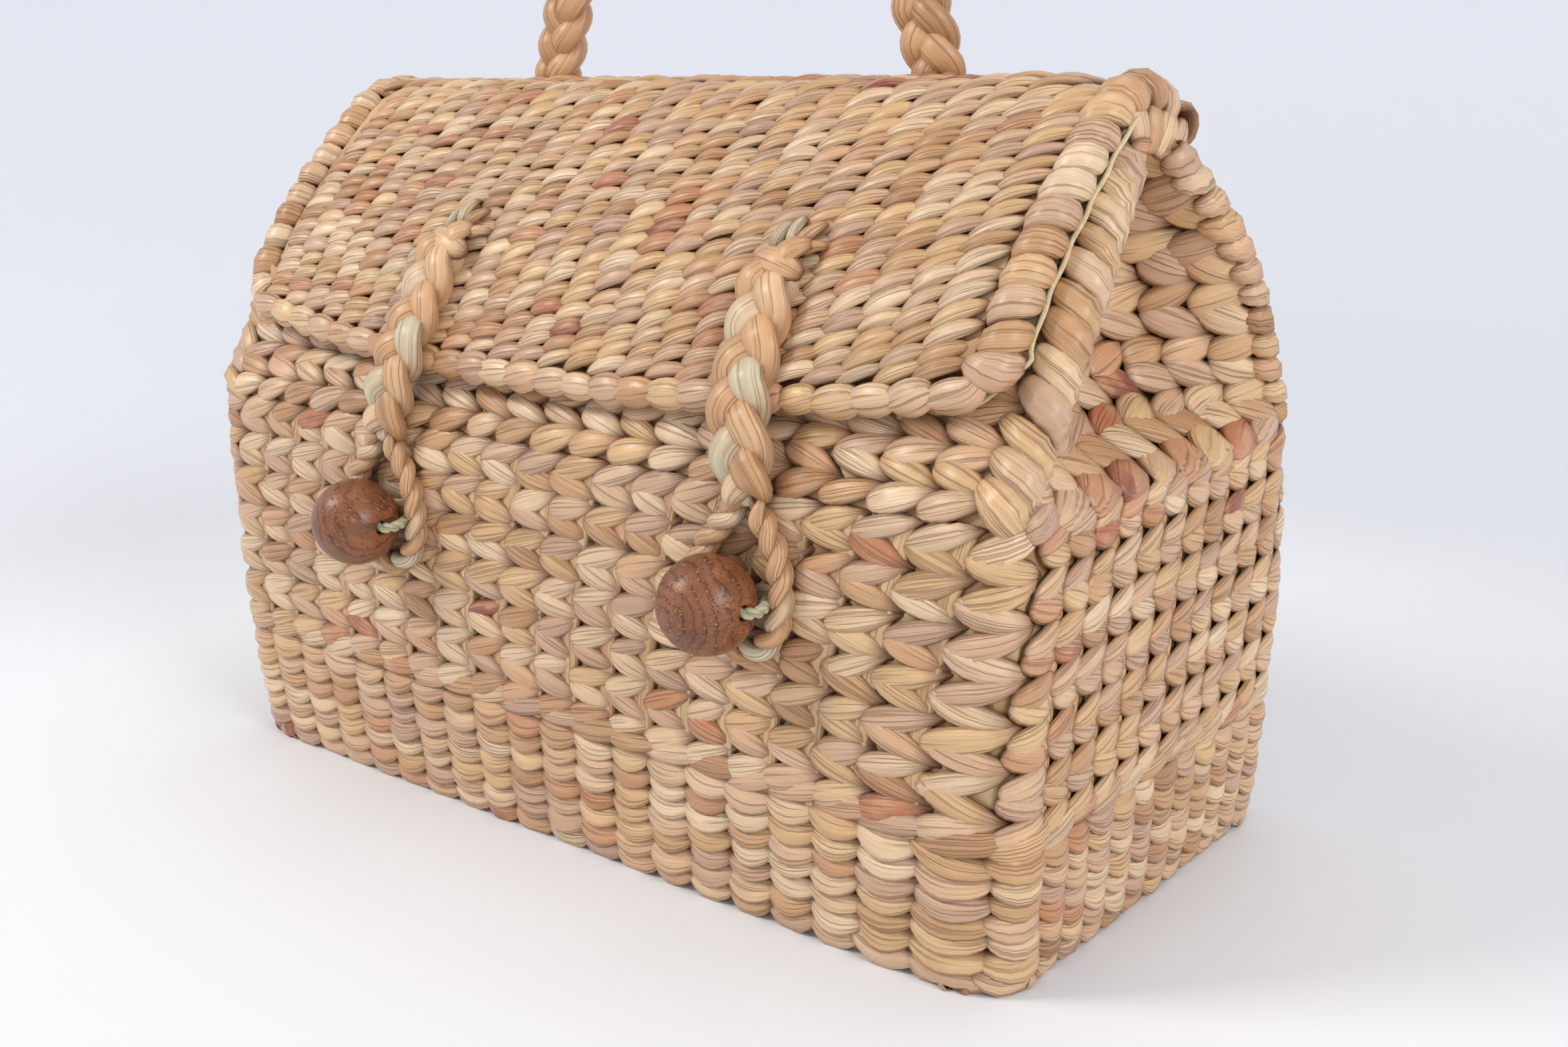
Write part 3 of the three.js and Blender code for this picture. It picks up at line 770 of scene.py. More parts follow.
# %% Roof panel rows
PANEL_COLUMNS = 20
PANEL_FIRST = 4
SEEN_ROWS = 6
panel_half = SHOULDER[0] - 9
panel_pitch = 2 * panel_half / PANEL_COLUMNS
panel_columns = (np.arange(PANEL_COLUMNS) + 0.5) * panel_pitch - panel_half
panel_widths = np.full(PANEL_COLUMNS, panel_pitch)
back_rows = int(ROOF_V[-1] / ROW)
lay("back_roof_weave", roof(1), chevron_rows(PANEL_FIRST, back_rows, panel_columns, panel_widths), TWINED)
front_spots = chevron_rows(PANEL_FIRST, SEEN_ROWS, panel_columns, panel_widths)
edge_columns = panel_columns[[0, 1, -2, -1]]
front_spots += chevron_rows(PANEL_FIRST + SEEN_ROWS * ROW, back_rows - SEEN_ROWS - 1, edge_columns,
                            panel_widths[:4])
lay("front_roof_weave", roof(-1), front_spots, TWINED)

# %% [markdown]
# ## The folded ends
# The gussets are worked in slightly thicker reed. Their rows are spaced along the real slope of
# the fold, and each row has as many stitches as its curve has room for.

# %% Gusset rows
GUSSET_ROW = 7.6
GUSSET_PITCH = 14.5
GUSSET_SLANT = 18
SLOPE_SHARE = 0.6
gusset_v = np.linspace(0, BODY_Z - SHOULDER_Z, 200)
half_x, fold_half, fold = gusset_shape(gusset_v / gusset_v[-1])
slope_x = half_x - fold * (1 - SLOPE_SHARE**FOLD_POWER)
slope_run = np.r_[0, np.cumsum(np.hypot(np.diff(slope_x), np.diff(gusset_v)))]
gusset_rows = np.interp(np.arange(3, slope_run[-1], GUSSET_ROW), slope_run, gusset_v)
for end, label in ((1, "right"), (-1, "left")):
    spots = []
    for k, v in enumerate(gusset_rows):
        half = gusset_half(v) + 1
        columns = max(3, int(round(2 * half / GUSSET_PITCH)))
        pitch = 2 * half / columns
        turn = GUSSET_SLANT if k % 2 == 0 else -GUSSET_SLANT
        for i in range(columns):
            spots.append((-half + (i + 0.5) * pitch, v, pitch + 6.5, 10.2, turn))
    lay(f"gusset_{label}_weave", gusset(end), spots, TWINED)

# %% [markdown]
# The side edges of both roof panels are bound with broad bands of reed, which wrap from the
# outer face round the edge. `rim` is the surface of such an edge: `u` goes round its thickness.

# %% Bound rims
RIM_REACH = 11.0
RIM_TURNS = 12
TUCK_HEIGHT = 12
TUCK_DEPTH = 3.5


def rim(end, facing):
    """One bound edge of a roof panel, drawn in at its low end so that it meets the shoulder."""
    mirrored = end * facing > 0

    def face(u, v):
        v = ROOF_V[-1] - v if mirrored else v
        radius = RIM_THICKNESS / 2
        flat = RIM_REACH - radius
        bend = np.clip((u - flat) / radius, 0, math.pi)
        past = np.maximum(u - flat - math.pi * radius, 0)
        low = np.clip(1 - v / TUCK_HEIGHT, 0, 1.5)
        inward = radius * (1 - np.sin(bend)) + np.maximum(flat - u, 0) + past + TUCK_DEPTH * low**2
        depth = radius * (1 - np.cos(bend))
        up = np.interp(v, ROOF_V, ROOF_UPS)
        y, z = np.interp(v, ROOF_V, ROOF_Y), np.interp(v, ROOF_V, ROOF_Z)
        z = z + v - np.clip(v, ROOF_V[0], ROOF_V[-1])
        ty = np.interp(v, ROOF_V, np.gradient(ROOF_Y, ROOF_V))
        tz = np.interp(v, ROOF_V, np.gradient(ROOF_Z, ROOF_V))
        x = end * (SHOULDER[0] * column(ROOF, "width", up) - inward)
        return np.stack([x, facing * (y - depth * tz), z + depth * ty], -1)

    return face


for end, side in ((1, "right"), (-1, "left")):
    for facing, wall_name in ((-1, "front"), (1, "back")):
        pitch = ROOF_V[-1] / RIM_TURNS
        spots = [(10.0, (k + 0.5) * pitch, 24, 1.08 * pitch, -30) for k in range(RIM_TURNS)]
        lay(f"rim_{wall_name}_{side}", rim(end, facing), spots, CUSHION)

# %% [markdown]
# ## The lid
# The lid is worked in plain twining, so all its rows lean the same way and look like grains of
# rice. A row that runs out at one side goes on at the other, so both sides keep a full edge.

# %% Lid rows
LID_ROWS = 23
LID_COLUMNS = 26
ROW_SHIFT = 0.3
grain_spots = []
lid_inner = LID_HALF - 12
for k in range(LID_ROWS):
    v = (k + 0.9) / LID_ROWS * LID_RUN
    for i in range(LID_COLUMNS):
        along = (i + 0.5) / LID_COLUMNS * 2 * lid_inner + ROW_SHIFT * k
        u = np.mod(along, 2 * lid_inner) - lid_inner
        grain_spots.append((u, v, 16.2, 6.2, 21))
lay("lid_weave", lid(LID_TOP), grain_spots, GRAIN)

# %% [markdown]
# The lid's border is a roll, bound with short broad wraps. It is easiest to see as a tube that
# runs down one side, along the lower edge and up the other side. Stitches go across the tube on
# the sides and along it below.

# %% Lid border
BORDER_RADIUS = LID_THICKNESS / 2 + 0.6
border_inset = LID_HALF - LID_THICKNESS / 2


def border_path():
    """The middle of the roll, and the direction that faces up along it."""
    side_v = np.linspace(LID_RUN, 6, 60)
    low_x = np.linspace(-border_inset + 5, border_inset - 5, 140)
    u = np.r_[np.full(60, -border_inset), low_x, np.full(60, border_inset)]
    v = np.r_[side_v, np.zeros(140), side_v[::-1]]
    middle = lid(LID_NEAR + LID_THICKNESS / 2)
    return middle(u, v), outward(middle, u, v)


def tube(points, up, radius):
    """The surface of a tube: u runs along its path and v round it, from the side that faces up."""
    length = np.r_[0, np.cumsum(np.linalg.norm(np.diff(points, axis=0), axis=1))]
    even = np.linspace(0, length[-1], int(length[-1]))
    centre = np.stack([np.interp(even, length, points[:, i]) for i in range(3)], -1)
    top = np.stack([np.interp(even, length, up[:, i]) for i in range(3)], -1)
    tangent = np.gradient(centre, axis=0)
    window = np.ones(9) / 9
    tangent = np.stack([np.convolve(np.pad(tangent[:, i], 4, mode="edge"), window, "valid")
                        for i in range(3)], -1)
    side = np.cross(tangent, top)
    side /= np.linalg.norm(side, axis=1, keepdims=True)
    top = np.cross(side, tangent)
    top /= np.linalg.norm(top, axis=1, keepdims=True)

    def face(u, v):
        def read(rows):
            return np.stack([np.interp(u, even, rows[:, i]) for i in range(3)], -1)

        angle = (v / radius)[:, None]
        return read(centre) + radius * (np.cos(angle) * read(top) - np.sin(angle) * read(side))

    return face, length[-1]


border, border_length = tube(*border_path(), BORDER_RADIUS)
side_length = LID_RUN - 2
SIDE_PITCH = 8.2
SIDE_FROM = 5
side_turns = int(side_length / SIDE_PITCH)
border_spots = []
for k in range(side_turns):
    place = SIDE_FROM + (k + 0.5) * (side_length - SIDE_FROM) / side_turns
    border_spots.append((place, -1.6, 20, 9.6, 100))
    border_spots.append((border_length - place, -1.6, 20, 9.6, 112))
low_length = border_length - 2 * side_length
for k in range(LID_COLUMNS):
    place = side_length + (k + 0.5) * low_length / LID_COLUMNS
    border_spots.append((place, -3.0, low_length / LID_COLUMNS + 3.8, 9.8, 8))
lid_border_wraps = lay("lid_border_wraps", border, border_spots, CUSHION)
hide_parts("lid_border")

# %% [markdown]
# The lid's back edge is sewn to the back panel with a row of broad stitches, which cover the
# join from end to end.

# %% Seam stitches
SEAM_RADIUS = 5.6
SEAM_PAST = 7
SEAM_STEPS = 120
seam_x = np.linspace(-LID_HALF - SEAM_PAST, LID_HALF + SEAM_PAST, SEAM_STEPS)
seam_middle = lid(LID_NEAR + 3.2)
seam_v = np.full(SEAM_STEPS, LID_RUN + 1.5)
seam, seam_length = tube(seam_middle(seam_x, seam_v), outward(seam_middle, seam_x, seam_v), SEAM_RADIUS)
seam_turns = 30
seam_margin = 5.5
seam_pitch = (seam_length - 2 * seam_margin) / seam_turns
seam_spots = [(seam_margin + (k + 0.5) * seam_pitch, 3.4, 19, 11, 104) for k in range(seam_turns)]
lay("lid_seam_stitches", seam, seam_spots, CUSHION)

# %% [markdown]
# A few stitches close each end of the mouth, between the border, the seam and the two rims.

# %% Corners of the lid
def lid_end(end):
    """Upright plane at one end of the mouth; u is depth seen from outside and v height."""

    def face(u, v):
        return np.stack([np.full_like(u, end * (LID_HALF - 0.5)), u * end, v], -1)

    return face


for end, label in ((1, "right"), (-1, "left")):
    corner_spots = [(y * end, z, 13, 8.6, 90 - 40 * end * y / 14)
                    for y, z in ((-5, 207), (2, 207), (9, 206), (15.5, 203))]
    lay(f"lid_corner_{label}", lid_end(end), corner_spots, CUSHION)

# %% [markdown]
# A thin cotton lining is stretched under the lid. Its cut edge shows as a pale line just past
# the border, so it gets a slight wave there.

# %% Lid lining
lining_cloth, tree, shader = new_material("unbleached cotton", IOR=1.46, Roughness=0.85)
place = add(tree, "ShaderNodeTexCoord").outputs["Object"]
weave = add(tree, "ShaderNodeTexNoise", Vector=place, Scale=900.0, Detail=2.0).outputs["Fac"]
cotton = add(tree, "ShaderNodeValToRGB", stops=[(0.3, "#CDB78F"), (0.7, "#E2D0AB")], _0=weave)
tree.links.new(cotton.outputs["Color"], shader.inputs["Base Color"])
threads = add(tree, "ShaderNodeBump", Strength=0.4, Distance=0.3 * MM, Height=weave).outputs[0]
tree.links.new(threads, shader.inputs["Normal"])
LINING_HALF = LID_HALF - 1.2


def lining_sheet():
    """A grid laid under the lid, with rounded lower corners and a slight ripple at its edge."""
    bm = bmesh.new()
    bmesh.ops.create_grid(bm, x_segments=80, y_segments=50, size=1.0)
    flat = np.array([v.co for v in bm.verts])
    v = (flat[:, 1] + 1) / 2 * LID_RUN
    low = np.clip(1 - v / 9, 0, 1)
    u = flat[:, 0] * (LINING_HALF - 9 * (1 - np.sqrt(1 - low**2)))
    edge = np.clip((np.abs(flat[:, 0]) - 0.96) / 0.04, 0, 1) + np.clip(1 - v / 4, 0, 1)
    ripple = 0.5 * edge * np.sin(u / 5.2 + v / 7)
    face = lid(SEAT + LINING / 2)
    points = face(u, v - 1.2 * np.clip(1 - v / 4, 0, 1)) + outward(face, u, v) * ripple[:, None]
    for vert, point in zip(bm.verts, points):
        vert.co = point * MM
    bmesh.ops.recalc_face_normals(bm, faces=bm.faces)
    bmesh.ops.solidify(bm, geom=bm.faces, thickness=0.6 * MM)
    mesh = bpy.data.meshes.new("lid_lining_cloth")
    bm.to_mesh(mesh)
    bm.free()
    mesh.shade_smooth()
    mesh.materials.append(lining_cloth)
    piece = bpy.data.objects.new("lid_lining_cloth", mesh)
    bpy.context.scene.collection.objects.link(piece)
    return piece


lining = lining_sheet()
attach(lining, "root")
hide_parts("lid_lining")
print("lining is", 2 * LINING_HALF, "by", round(LID_RUN + 1.2, 1), "mm flat")

# %% [markdown]
# ## Braids
# The handle and the straps are three-strand braids. In such a braid each strand swings from side
# to side as a sine, and rises over the middle twice in that time, one third of a turn after its
# neighbour. A twisted cord is simpler: its two strands turn round each other.

# %% Strands along a path
def smooth_path(points, per_span=14):
    """A curve through the points, as many small steps of the Catmull and Rom kind."""
    p = np.asarray(points, float)
    p = np.vstack([2 * p[0] - p[1], p, 2 * p[-1] - p[-2]])
    t = np.linspace(0, 1, per_span, endpoint=False)[:, None]
    spans = []
    for i in range(1, len(p) - 2):
        a, b, c, d = p[i - 1], p[i], p[i + 1], p[i + 2]
        spans.append(0.5 * (2 * b + (c - a) * t + (2 * a - 5 * b + 4 * c - d) * t**2
                            + (3 * b - a - 3 * c + d) * t**3))
    return np.vstack([*spans, p[-2]])


def unit(rows):
    """Directions of length 1."""
    return rows / np.maximum(np.linalg.norm(rows, axis=-1, keepdims=True), 1e-9)


def strand_points(centre, flat, radii, part, taper):
    """One strand's skin: centre and flat are rows along it, radii its half width and half depth."""
    tangent = unit(np.gradient(centre, axis=0))
    side = unit(np.cross(flat, tangent))
    top = np.cross(tangent, side)
    t = part["along"] * (len(centre) - 1)
    rows = np.arange(len(centre))

    def read(value):
        return np.stack([np.interp(t, rows, value[:, i]) for i in range(3)], -1)

    end = np.minimum(part["along"], 1 - part["along"]) * len(centre)
    full = np.clip(end / taper, 0, 1) ** 0.5
    offset = (radii[0] * full * part["side"])[:, None] * read(side)
    return read(centre) + offset + (radii[1] * full * part["top"])[:, None] * read(top)


FACE_LENGTH = 1.1


def bind(name, path, flat, radii, swing, period, material, kind="braid", taper=6.0,
         tones=(0.25, 0.55, 0.72)):
    """Lays strands along a path as a braid or a twisted cord, one for each tone.

    flat is the direction that the braid's broad face looks in, radii are a strand's half width and
    half depth, swing is how far it moves sideways and forwards, and period how long one turn is.
    """
    length = np.r_[0, np.cumsum(np.linalg.norm(np.diff(path, axis=0), axis=1))]
    rows = int(length[-1] / FACE_LENGTH)
    even = np.linspace(0, length[-1], rows)
    centre = np.stack([np.interp(even, length, path[:, i]) for i in range(3)], -1)
    flat = np.stack([np.interp(even, length, flat[:, i]) for i in range(3)], -1)
    tangent = unit(np.gradient(centre, axis=0))
    side = unit(np.cross(flat, tangent))
    top = np.cross(tangent, side)
    part = stem(10, rows)
    points, fibres, shades, reliefs = [], [], [], []
    for k, base_tone in enumerate(tones):
        turn = 2 * math.pi * (even / period + k / len(tones))
        if kind == "braid":
            sideways, forward = swing[0] * np.sin(turn), swing[1] * np.sin(2 * turn)
        else:
            sideways, forward = swing[0] * np.cos(turn), swing[1] * np.sin(turn)
        line = centre + sideways[:, None] * side + forward[:, None] * top
        points.append(strand_points(line, top, radii, part, taper))
        along = part["along"] * length[-1]
        across = across_reed(part)
        fibres.append(np.stack([along, across + 0.05 * along, np.full(len(along), 37.0 * k)], -1))
        # relief is low where a strand dips under its neighbours and at its edges; the reed material paints
        # shade there
        lift = np.interp(part["along"], np.linspace(0, 1, rows), forward)
        high = (lift * part["top"] + radii[1]) / (abs(swing[1]) + radii[1])
        edge = 1 - np.clip(np.abs(part["side"]) - 0.75, 0, 1) * 1.6
        reliefs.append(np.clip(high * edge, 0, 1))
        drift = 0.14 * np.sin(along / 11 + 2 * k)
        shades.append(np.clip(base_tone + drift, 0, 1))
    return join(name, np.array(points), part["faces"], np.array(fibres), np.array(shades),
                np.array(reliefs), material)


# %% [markdown]
# The lining's edge could be left to the thin sheet alone, but a raw cotton edge curls over and
# looks like a fine cord. So one thin, wavy strand follows it down the sides and along the bottom.

# %% Curled edge of the lining
HEM_SIDE_STEPS = 40
HEM_LOW_STEPS = 60
HEM_PAST = 1.2
side_v = np.linspace(LID_RUN - 22, 8, HEM_SIDE_STEPS)
low_u = np.linspace(-LID_HALF + 8, LID_HALF - 8, HEM_LOW_STEPS)
side_u = np.full(HEM_SIDE_STEPS, LID_HALF + HEM_PAST)
hem_u = np.r_[-side_u, low_u, side_u]
hem_v = np.r_[side_v, np.full(HEM_LOW_STEPS, -2 * HEM_PAST), side_v[::-1]]
hem_wave = 0.3 * np.sin(np.arange(len(hem_u)) * 0.9)
hem_path = smooth_path(lid(LID_NEAR + 0.8)(hem_u + hem_wave, hem_v + hem_wave), 6)
hem_flat = np.tile([0.0, -0.6, 0.8], (len(hem_path), 1))
bind("lining_hem", hem_path, hem_flat, (0.75, 0.6), (0.0, 0.0), 8.0, lining_cloth,
     taper=2.0, tones=(0.5,))

# %% [markdown]
# ## Handle
# The handle is one thick braid, bent into an arch behind the ridge. Half of the arch is a short
# table of shares, and the other half is its mirror image. Short cut ends cover the place where
# each foot goes into the lid.

# %% Handle
HANDLE_SPAN = 154.0
HANDLE_RISE = 100.0
HANDLE_BACK = 11.0
BRAID_TONES = [
    (0.00, "#BE9064"), (0.25, "#D09F70"), (0.45, "#DCAC7E"), (0.62, "#E0BD95"), (0.76, "#D8CDB0"),
    (0.85, "#D0C3A4"), (0.94, "#CFA274"),
]
HANDLE_ARCH = {
    "out": [1.0, 0.92, 0.82, 0.68, 0.44, 0.2, 0.0],
    "up": [0.0, 0.2, 0.44, 0.68, 0.88, 0.975, 1.0],
}
FOOT_ENDS = ((-5, -2, 35), (-1.5, -4, 80), (3.5, -3, 115), (6.5, 0, 160), (-6, 2, 5))
# 8A5A36 is the painted shade where braid strands dip and at their edges
braid_reed = reed_material("plaited reed", BRAID_TONES, "#8A5A36", 0.36)
handle_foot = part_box("handle")[0].z / MM + 1
handle_half = [(-out * HANDLE_SPAN / 2, HANDLE_BACK, handle_foot + up * HANDLE_RISE)
               for out, up in zip(HANDLE_ARCH["out"], HANDLE_ARCH["up"])]
handle_points = handle_half + [(-x, y, z) for x, y, z in handle_half[-2::-1]]
handle_path = smooth_path(handle_points)
handle_flat = np.tile([0.0, -1.0, 0.0], (len(handle_path), 1))
handle_braid = bind("handle_braid", handle_path, handle_flat, (4.6, 3.6), (4.3, 2.4), 31.0,
                    braid_reed, tones=(0.12, 0.3, 0.2))
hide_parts("handle")
foot_spots = [(sign * HANDLE_SPAN / 2 + out, LID_RUN - 5 + back, 9, 3.6, turn)
              for sign in (-1, 1) for out, back, turn in FOOT_ENDS]
lay("handle_foot_ends", lid(LID_TOP + 0.8), foot_spots, KNOT, braid_reed,
    tones=(0.0, 0.5))

# %% [markdown]
# ## Straps
# Each strap is a braid that is knotted through the lid, hangs over its edge and parts into two
# twisted cords, which form a loop round a bead. Both drift sideways on their way down, each by its
# own amount, so each has a row of its own with shares of the strap's width.

# %% Measures of the straps
STRAP_WIDTH = 15.0
STRAP_THICKNESS = 9.0
STRAP_TOP = 176.5
LOOP_CORD = 5.6
LOOP_HALF = 14.9
LOOP_DROP = 15.0
LOOP_RISE = 27.0
LOOP_CLEAR = 0.4
LOOP_PROUD = 0.9
BEAD = 26.0
BEAD_GAP = 1.8
BEAD_HOLE = 4.0
STRAPS = {
    "left": {"x": -65.0, "z": 93.0, "top": 0.93, "edge": 0.73, "split": 0.2, "lean": (0.9, 0.3, 0.5)},
    "right": {"x": 76.5, "z": 94.0, "top": -0.13, "edge": 0.0, "split": 0.37, "lean": (0.3, 0.2, -0.5)},
}
LOOP = {
    "out": [0.12, 0.32, 0.78, 1.0, 0.86, 0.45],
    "rise": [1.0, 0.8, 0.45, 0.05, 0.0, 0.0],
    "drop": [0.0, 0.0, 0.0, 0.0, 0.55, 0.93],
}


def front_wall(z):
    """How far forward the front wall is at a height."""
    swell = column(WALL, "swell", z / SHOULDER_Z)
    return -mix(BASE[1], BELLY[1], swell) / 2


def strap_path(at):
    """Down the lid, off its edge and on to where the braid parts into the loop."""
    lift = LID_TOP + SEAT + STRAP_THICKNESS / 2
    face = lid(lift)
    v = np.linspace(LID_RUN, 0, 200)
    line = face(np.zeros_like(v), v)
    line = line[line[:, 2] < STRAP_TOP][::12]
    low = face(np.zeros(1), np.zeros(1))[0]
    parting = at["z"] + LOOP_RISE
    hang = front_wall(at["z"]) - STRAP_THICKNESS / 2 - LOOP_CLEAR
    share = (line[:, 2] - low[2]) / (STRAP_TOP - low[2])
    x = at["x"] + mix(at["edge"], at["top"], share) * STRAP_WIDTH
    points = list(np.c_[x, line[:, 1:]])
    half = at["x"] + mix(at["edge"], at["split"], 0.5) * STRAP_WIDTH
    points.append((half, mix(low[1], hang, 0.7), (low[2] + parting) / 2))
    points.append((at["x"] + at["split"] * STRAP_WIDTH, hang, parting - LOOP_CORD / 2))
    return smooth_path(points)


def slope_place(z):
    """How far up the lid a height is, on its front slope."""
    v = np.linspace(0, 90, 200)
    return np.interp(z, lid(LID_TOP + STRAP_THICKNESS / 2)(np.zeros_like(v), v)[:, 2], v)


def outward_rows(path):
    """Square to the path, in its own upright plane, on the side away from the bag."""
    tangent = unit(np.gradient(path, axis=0))
    return unit(np.cross(tangent, np.tile([1.0, 0.0, 0.0], (len(path), 1))) * -1)


print("a strap runs", round(STRAP_TOP - STRAPS["left"]["z"] - LOOP_RISE, 1), "mm down to its loop")

# %% Braids, knots and loops
for side, at in STRAPS.items():
    path = strap_path(at)
    flat = outward_rows(path)
    strap = bind(f"strap_{side}_braid", path, flat, (4.8, 3.1), (4.7, -2.1), 34.0, braid_reed,
                 tones=(0.3, 0.5, 0.76))
    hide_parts(f"strap_{side}")
    tie_u = at["x"] + at["top"] * STRAP_WIDTH
    tie_v = slope_place(STRAP_TOP)
    knot = [(tie_u + 0.5, tie_v - 4, 17, 7.6, -16), (tie_u + 3.5, tie_v - 1.5, 12, 6.4, 38)]
    lay(f"strap_{side}_knot", lid(LID_TOP + 5.2), knot, KNOT, braid_reed,
        tones=(0.2, 0.6))
    tuft = [(tie_u - 3.5, tie_v + 5, 12, 3.4, 70), (tie_u + 0.5, tie_v + 6, 12, 3.0, 92),
            (tie_u + 4.5, tie_v + 4.5, 12, 3.2, 58), (tie_u + 8.5, tie_v + 1, 9, 2.8, 20)]
    lay(f"strap_{side}_tuft", lid(LID_TOP + 2.4), tuft, KNOT, braid_reed,
        tones=(0.2, 0.9))
    depth = front_wall(at["z"]) - LOOP_CORD / 2 - LOOP_CLEAR - LOOP_PROUD
    half = [(out * LOOP_HALF, rise * LOOP_RISE - drop * LOOP_DROP, rise)
            for out, rise, drop in zip(LOOP["out"], LOOP["rise"], LOOP["drop"])]
    ring = [(-x, z, rise) for x, z, rise in half] + [(0.0, -LOOP_DROP, 0.0)] + half[::-1]
    loop = [(at["x"] + x + at["split"] * STRAP_WIDTH * rise, depth, at["z"] + z) for x, z, rise in ring]
    loop_path = smooth_path(loop)
    bind(f"strap_{side}_loop", loop_path, np.tile([0.0, -1.0, 0.0], (len(loop_path), 1)), (2.2, 2.1),
         (1.6, 1.4), 13.5, braid_reed, kind="cord", tones=(0.32, 0.6))

# %% [markdown]
# ## Beads
# The closures are turned from a brown hardwood, bored from side to side, and waxed. A half
# profile with a rounded edge at the bore is spun round the bore's axis.

# %% Bead wood
GRAIN_CENTRE = (0.0095, 0.0, 0.004)
PORE_SCALE = 1600.0


def bead_material(name, centre, lean):
    """Growth rings about 3 mm apart round an axis that leans, with pores and paler torn fibres."""
    material, tree, shader = new_material(name, IOR=1.5, Roughness=0.36)
    place = add(tree, "ShaderNodeTexCoord").outputs["Object"]
    centred = add(tree, "ShaderNodeMapping", _0=place, _1=[-c for c in centre]).outputs[0]
    wood = add(tree, "ShaderNodeMapping", _0=centred, _1=GRAIN_CENTRE, _2=lean).outputs[0]
    ring_settings = {"wave_type": "RINGS", "rings_direction": "Y", "wave_profile": "SAW"}
    rings = add(tree, "ShaderNodeTexWave", ring_settings, Vector=wood, Scale=105.0, Distortion=7.5,
                Detail=3.0, Detail_Scale=1.1).outputs["Fac"]
    stretched = add(tree, "ShaderNodeVectorMath", {"operation": "MULTIPLY"}, _0=wood,
                    _1=(1.0, 0.15, 1.0)).outputs[0]
    fibre = add(tree, "ShaderNodeTexNoise", Vector=stretched, Scale=PORE_SCALE, Detail=3.0).outputs["Fac"]
    pores = add(tree, "ShaderNodeMapRange", _0=fibre, _1=0.58, _2=0.68, _3=0.0, _4=0.8).outputs[0]
    pale = add(tree, "ShaderNodeMapRange", _0=fibre, _1=0.42, _2=0.36, _3=0.0, _4=0.8).outputs[0]
    late = add(tree, "ShaderNodeMapRange", _0=rings, _1=0.45, _2=0.75, _3=0.0, _4=1.0).outputs[0]
    torn = add(tree, "ShaderNodeMath", {"operation": "MULTIPLY"}, _0=pale, _1=late).outputs[0]
    blotch = add(tree, "ShaderNodeTexNoise", Vector=wood, Scale=120.0, Detail=3.0).outputs["Fac"]
    ring_stops = [(0.0, "#87502F"), (0.5, "#8C5533"), (0.85, "#6E4028"), (1.0, "#5B3422")]
    tint = add(tree, "ShaderNodeValToRGB", stops=ring_stops, _0=rings).outputs["Color"]
    cloud = add(tree, "ShaderNodeMapRange", _0=blotch, _1=0.3, _2=0.7, _3=0.68, _4=1.2).outputs[0]
    shaded = add(tree, "ShaderNodeMix", {"data_type": "RGBA", "blend_type": "MULTIPLY"}, _0=1.0,
                 _6=tint, _7=cloud).outputs[2]
    pored = add(tree, "ShaderNodeMix", {"data_type": "RGBA"}, _0=pores, _6=shaded, _7=srgb("#48281A"))
    colour = add(tree, "ShaderNodeMix", {"data_type": "RGBA"}, _0=torn, _6=pored.outputs[2],
                 _7=srgb("#B4835A"))
    rough = add(tree, "ShaderNodeMapRange", _0=torn, _1=0.0, _2=0.6, _3=0.34, _4=0.7).outputs[0]
    pitted = add(tree, "ShaderNodeBump", {"invert": True}, Strength=0.5, Distance=0.3 * MM,
                 Height=pores).outputs[0]
    tree.links.new(colour.outputs[2], shader.inputs["Base Color"])
    tree.links.new(rough, shader.inputs["Roughness"])
    tree.links.new(pitted, shader.inputs["Normal"])
    return material


# %% [markdown]
# The bead could be a sphere with a hole cut by a boolean, but half of its outline, spun round the
# bore, gives cleaner faces. The outline is closed through the bore, so the bead is solid.

# %% Turn the beads
EDGE_ANGLE = 0.06


def turned_bead(name, centre, lean):
    """A bored ball, spun round the bore from an outline that is eased at the bore's edges."""
    radius, bore = BEAD / 2, BEAD_HOLE / 2
    start = math.asin(bore / radius)
    outer = [(-radius * math.cos(a), radius * math.sin(a))
             for a in np.linspace(start + EDGE_ANGLE, math.pi - start - EDGE_ANGLE, 40)]
    lip = radius * math.cos(start)
    inner = [(lip - 0.5, bore + 0.1), (lip - 1.2, bore), (0.0, bore), (-lip + 1.2, bore),
             (-lip + 0.5, bore + 0.1)]
    bm = bmesh.new()
    ring = [bm.verts.new((x, 0.0, r)) for x, r in outer + inner]
    edges = [bm.edges.new((a, b)) for a, b in zip(ring, ring[1:] + ring[:1])]
    bmesh.ops.spin(bm, geom=ring + edges, axis=(1, 0, 0), cent=(0, 0, 0), angle=math.tau, steps=64,
                   use_merge=True)
    bmesh.ops.remove_doubles(bm, verts=bm.verts, dist=1e-4)
    bmesh.ops.recalc_face_normals(bm, faces=bm.faces)
    bmesh.ops.scale(bm, verts=bm.verts, vec=(MM, MM, MM))
    bmesh.ops.translate(bm, verts=bm.verts, vec=Vector(centre) * MM)
    mesh = bpy.data.meshes.new(name)
    bm.to_mesh(mesh)
    bm.free()
    mesh.shade_smooth()
    piece = bpy.data.objects.new(name, mesh)
    bpy.context.scene.collection.objects.link(piece)
    mesh.materials.append(bead_material(f"waxed hardwood, {name}", [c * MM for c in centre], lean))
    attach(piece, "root")
    print(name, len(mesh.polygons), "faces")
    return piece


# %% [markdown]
# A short twisted cord of pale sedge goes through each bead and back to the wall on both sides. Its
# route is given as shares of the bead's radius and of the way back to the wall.

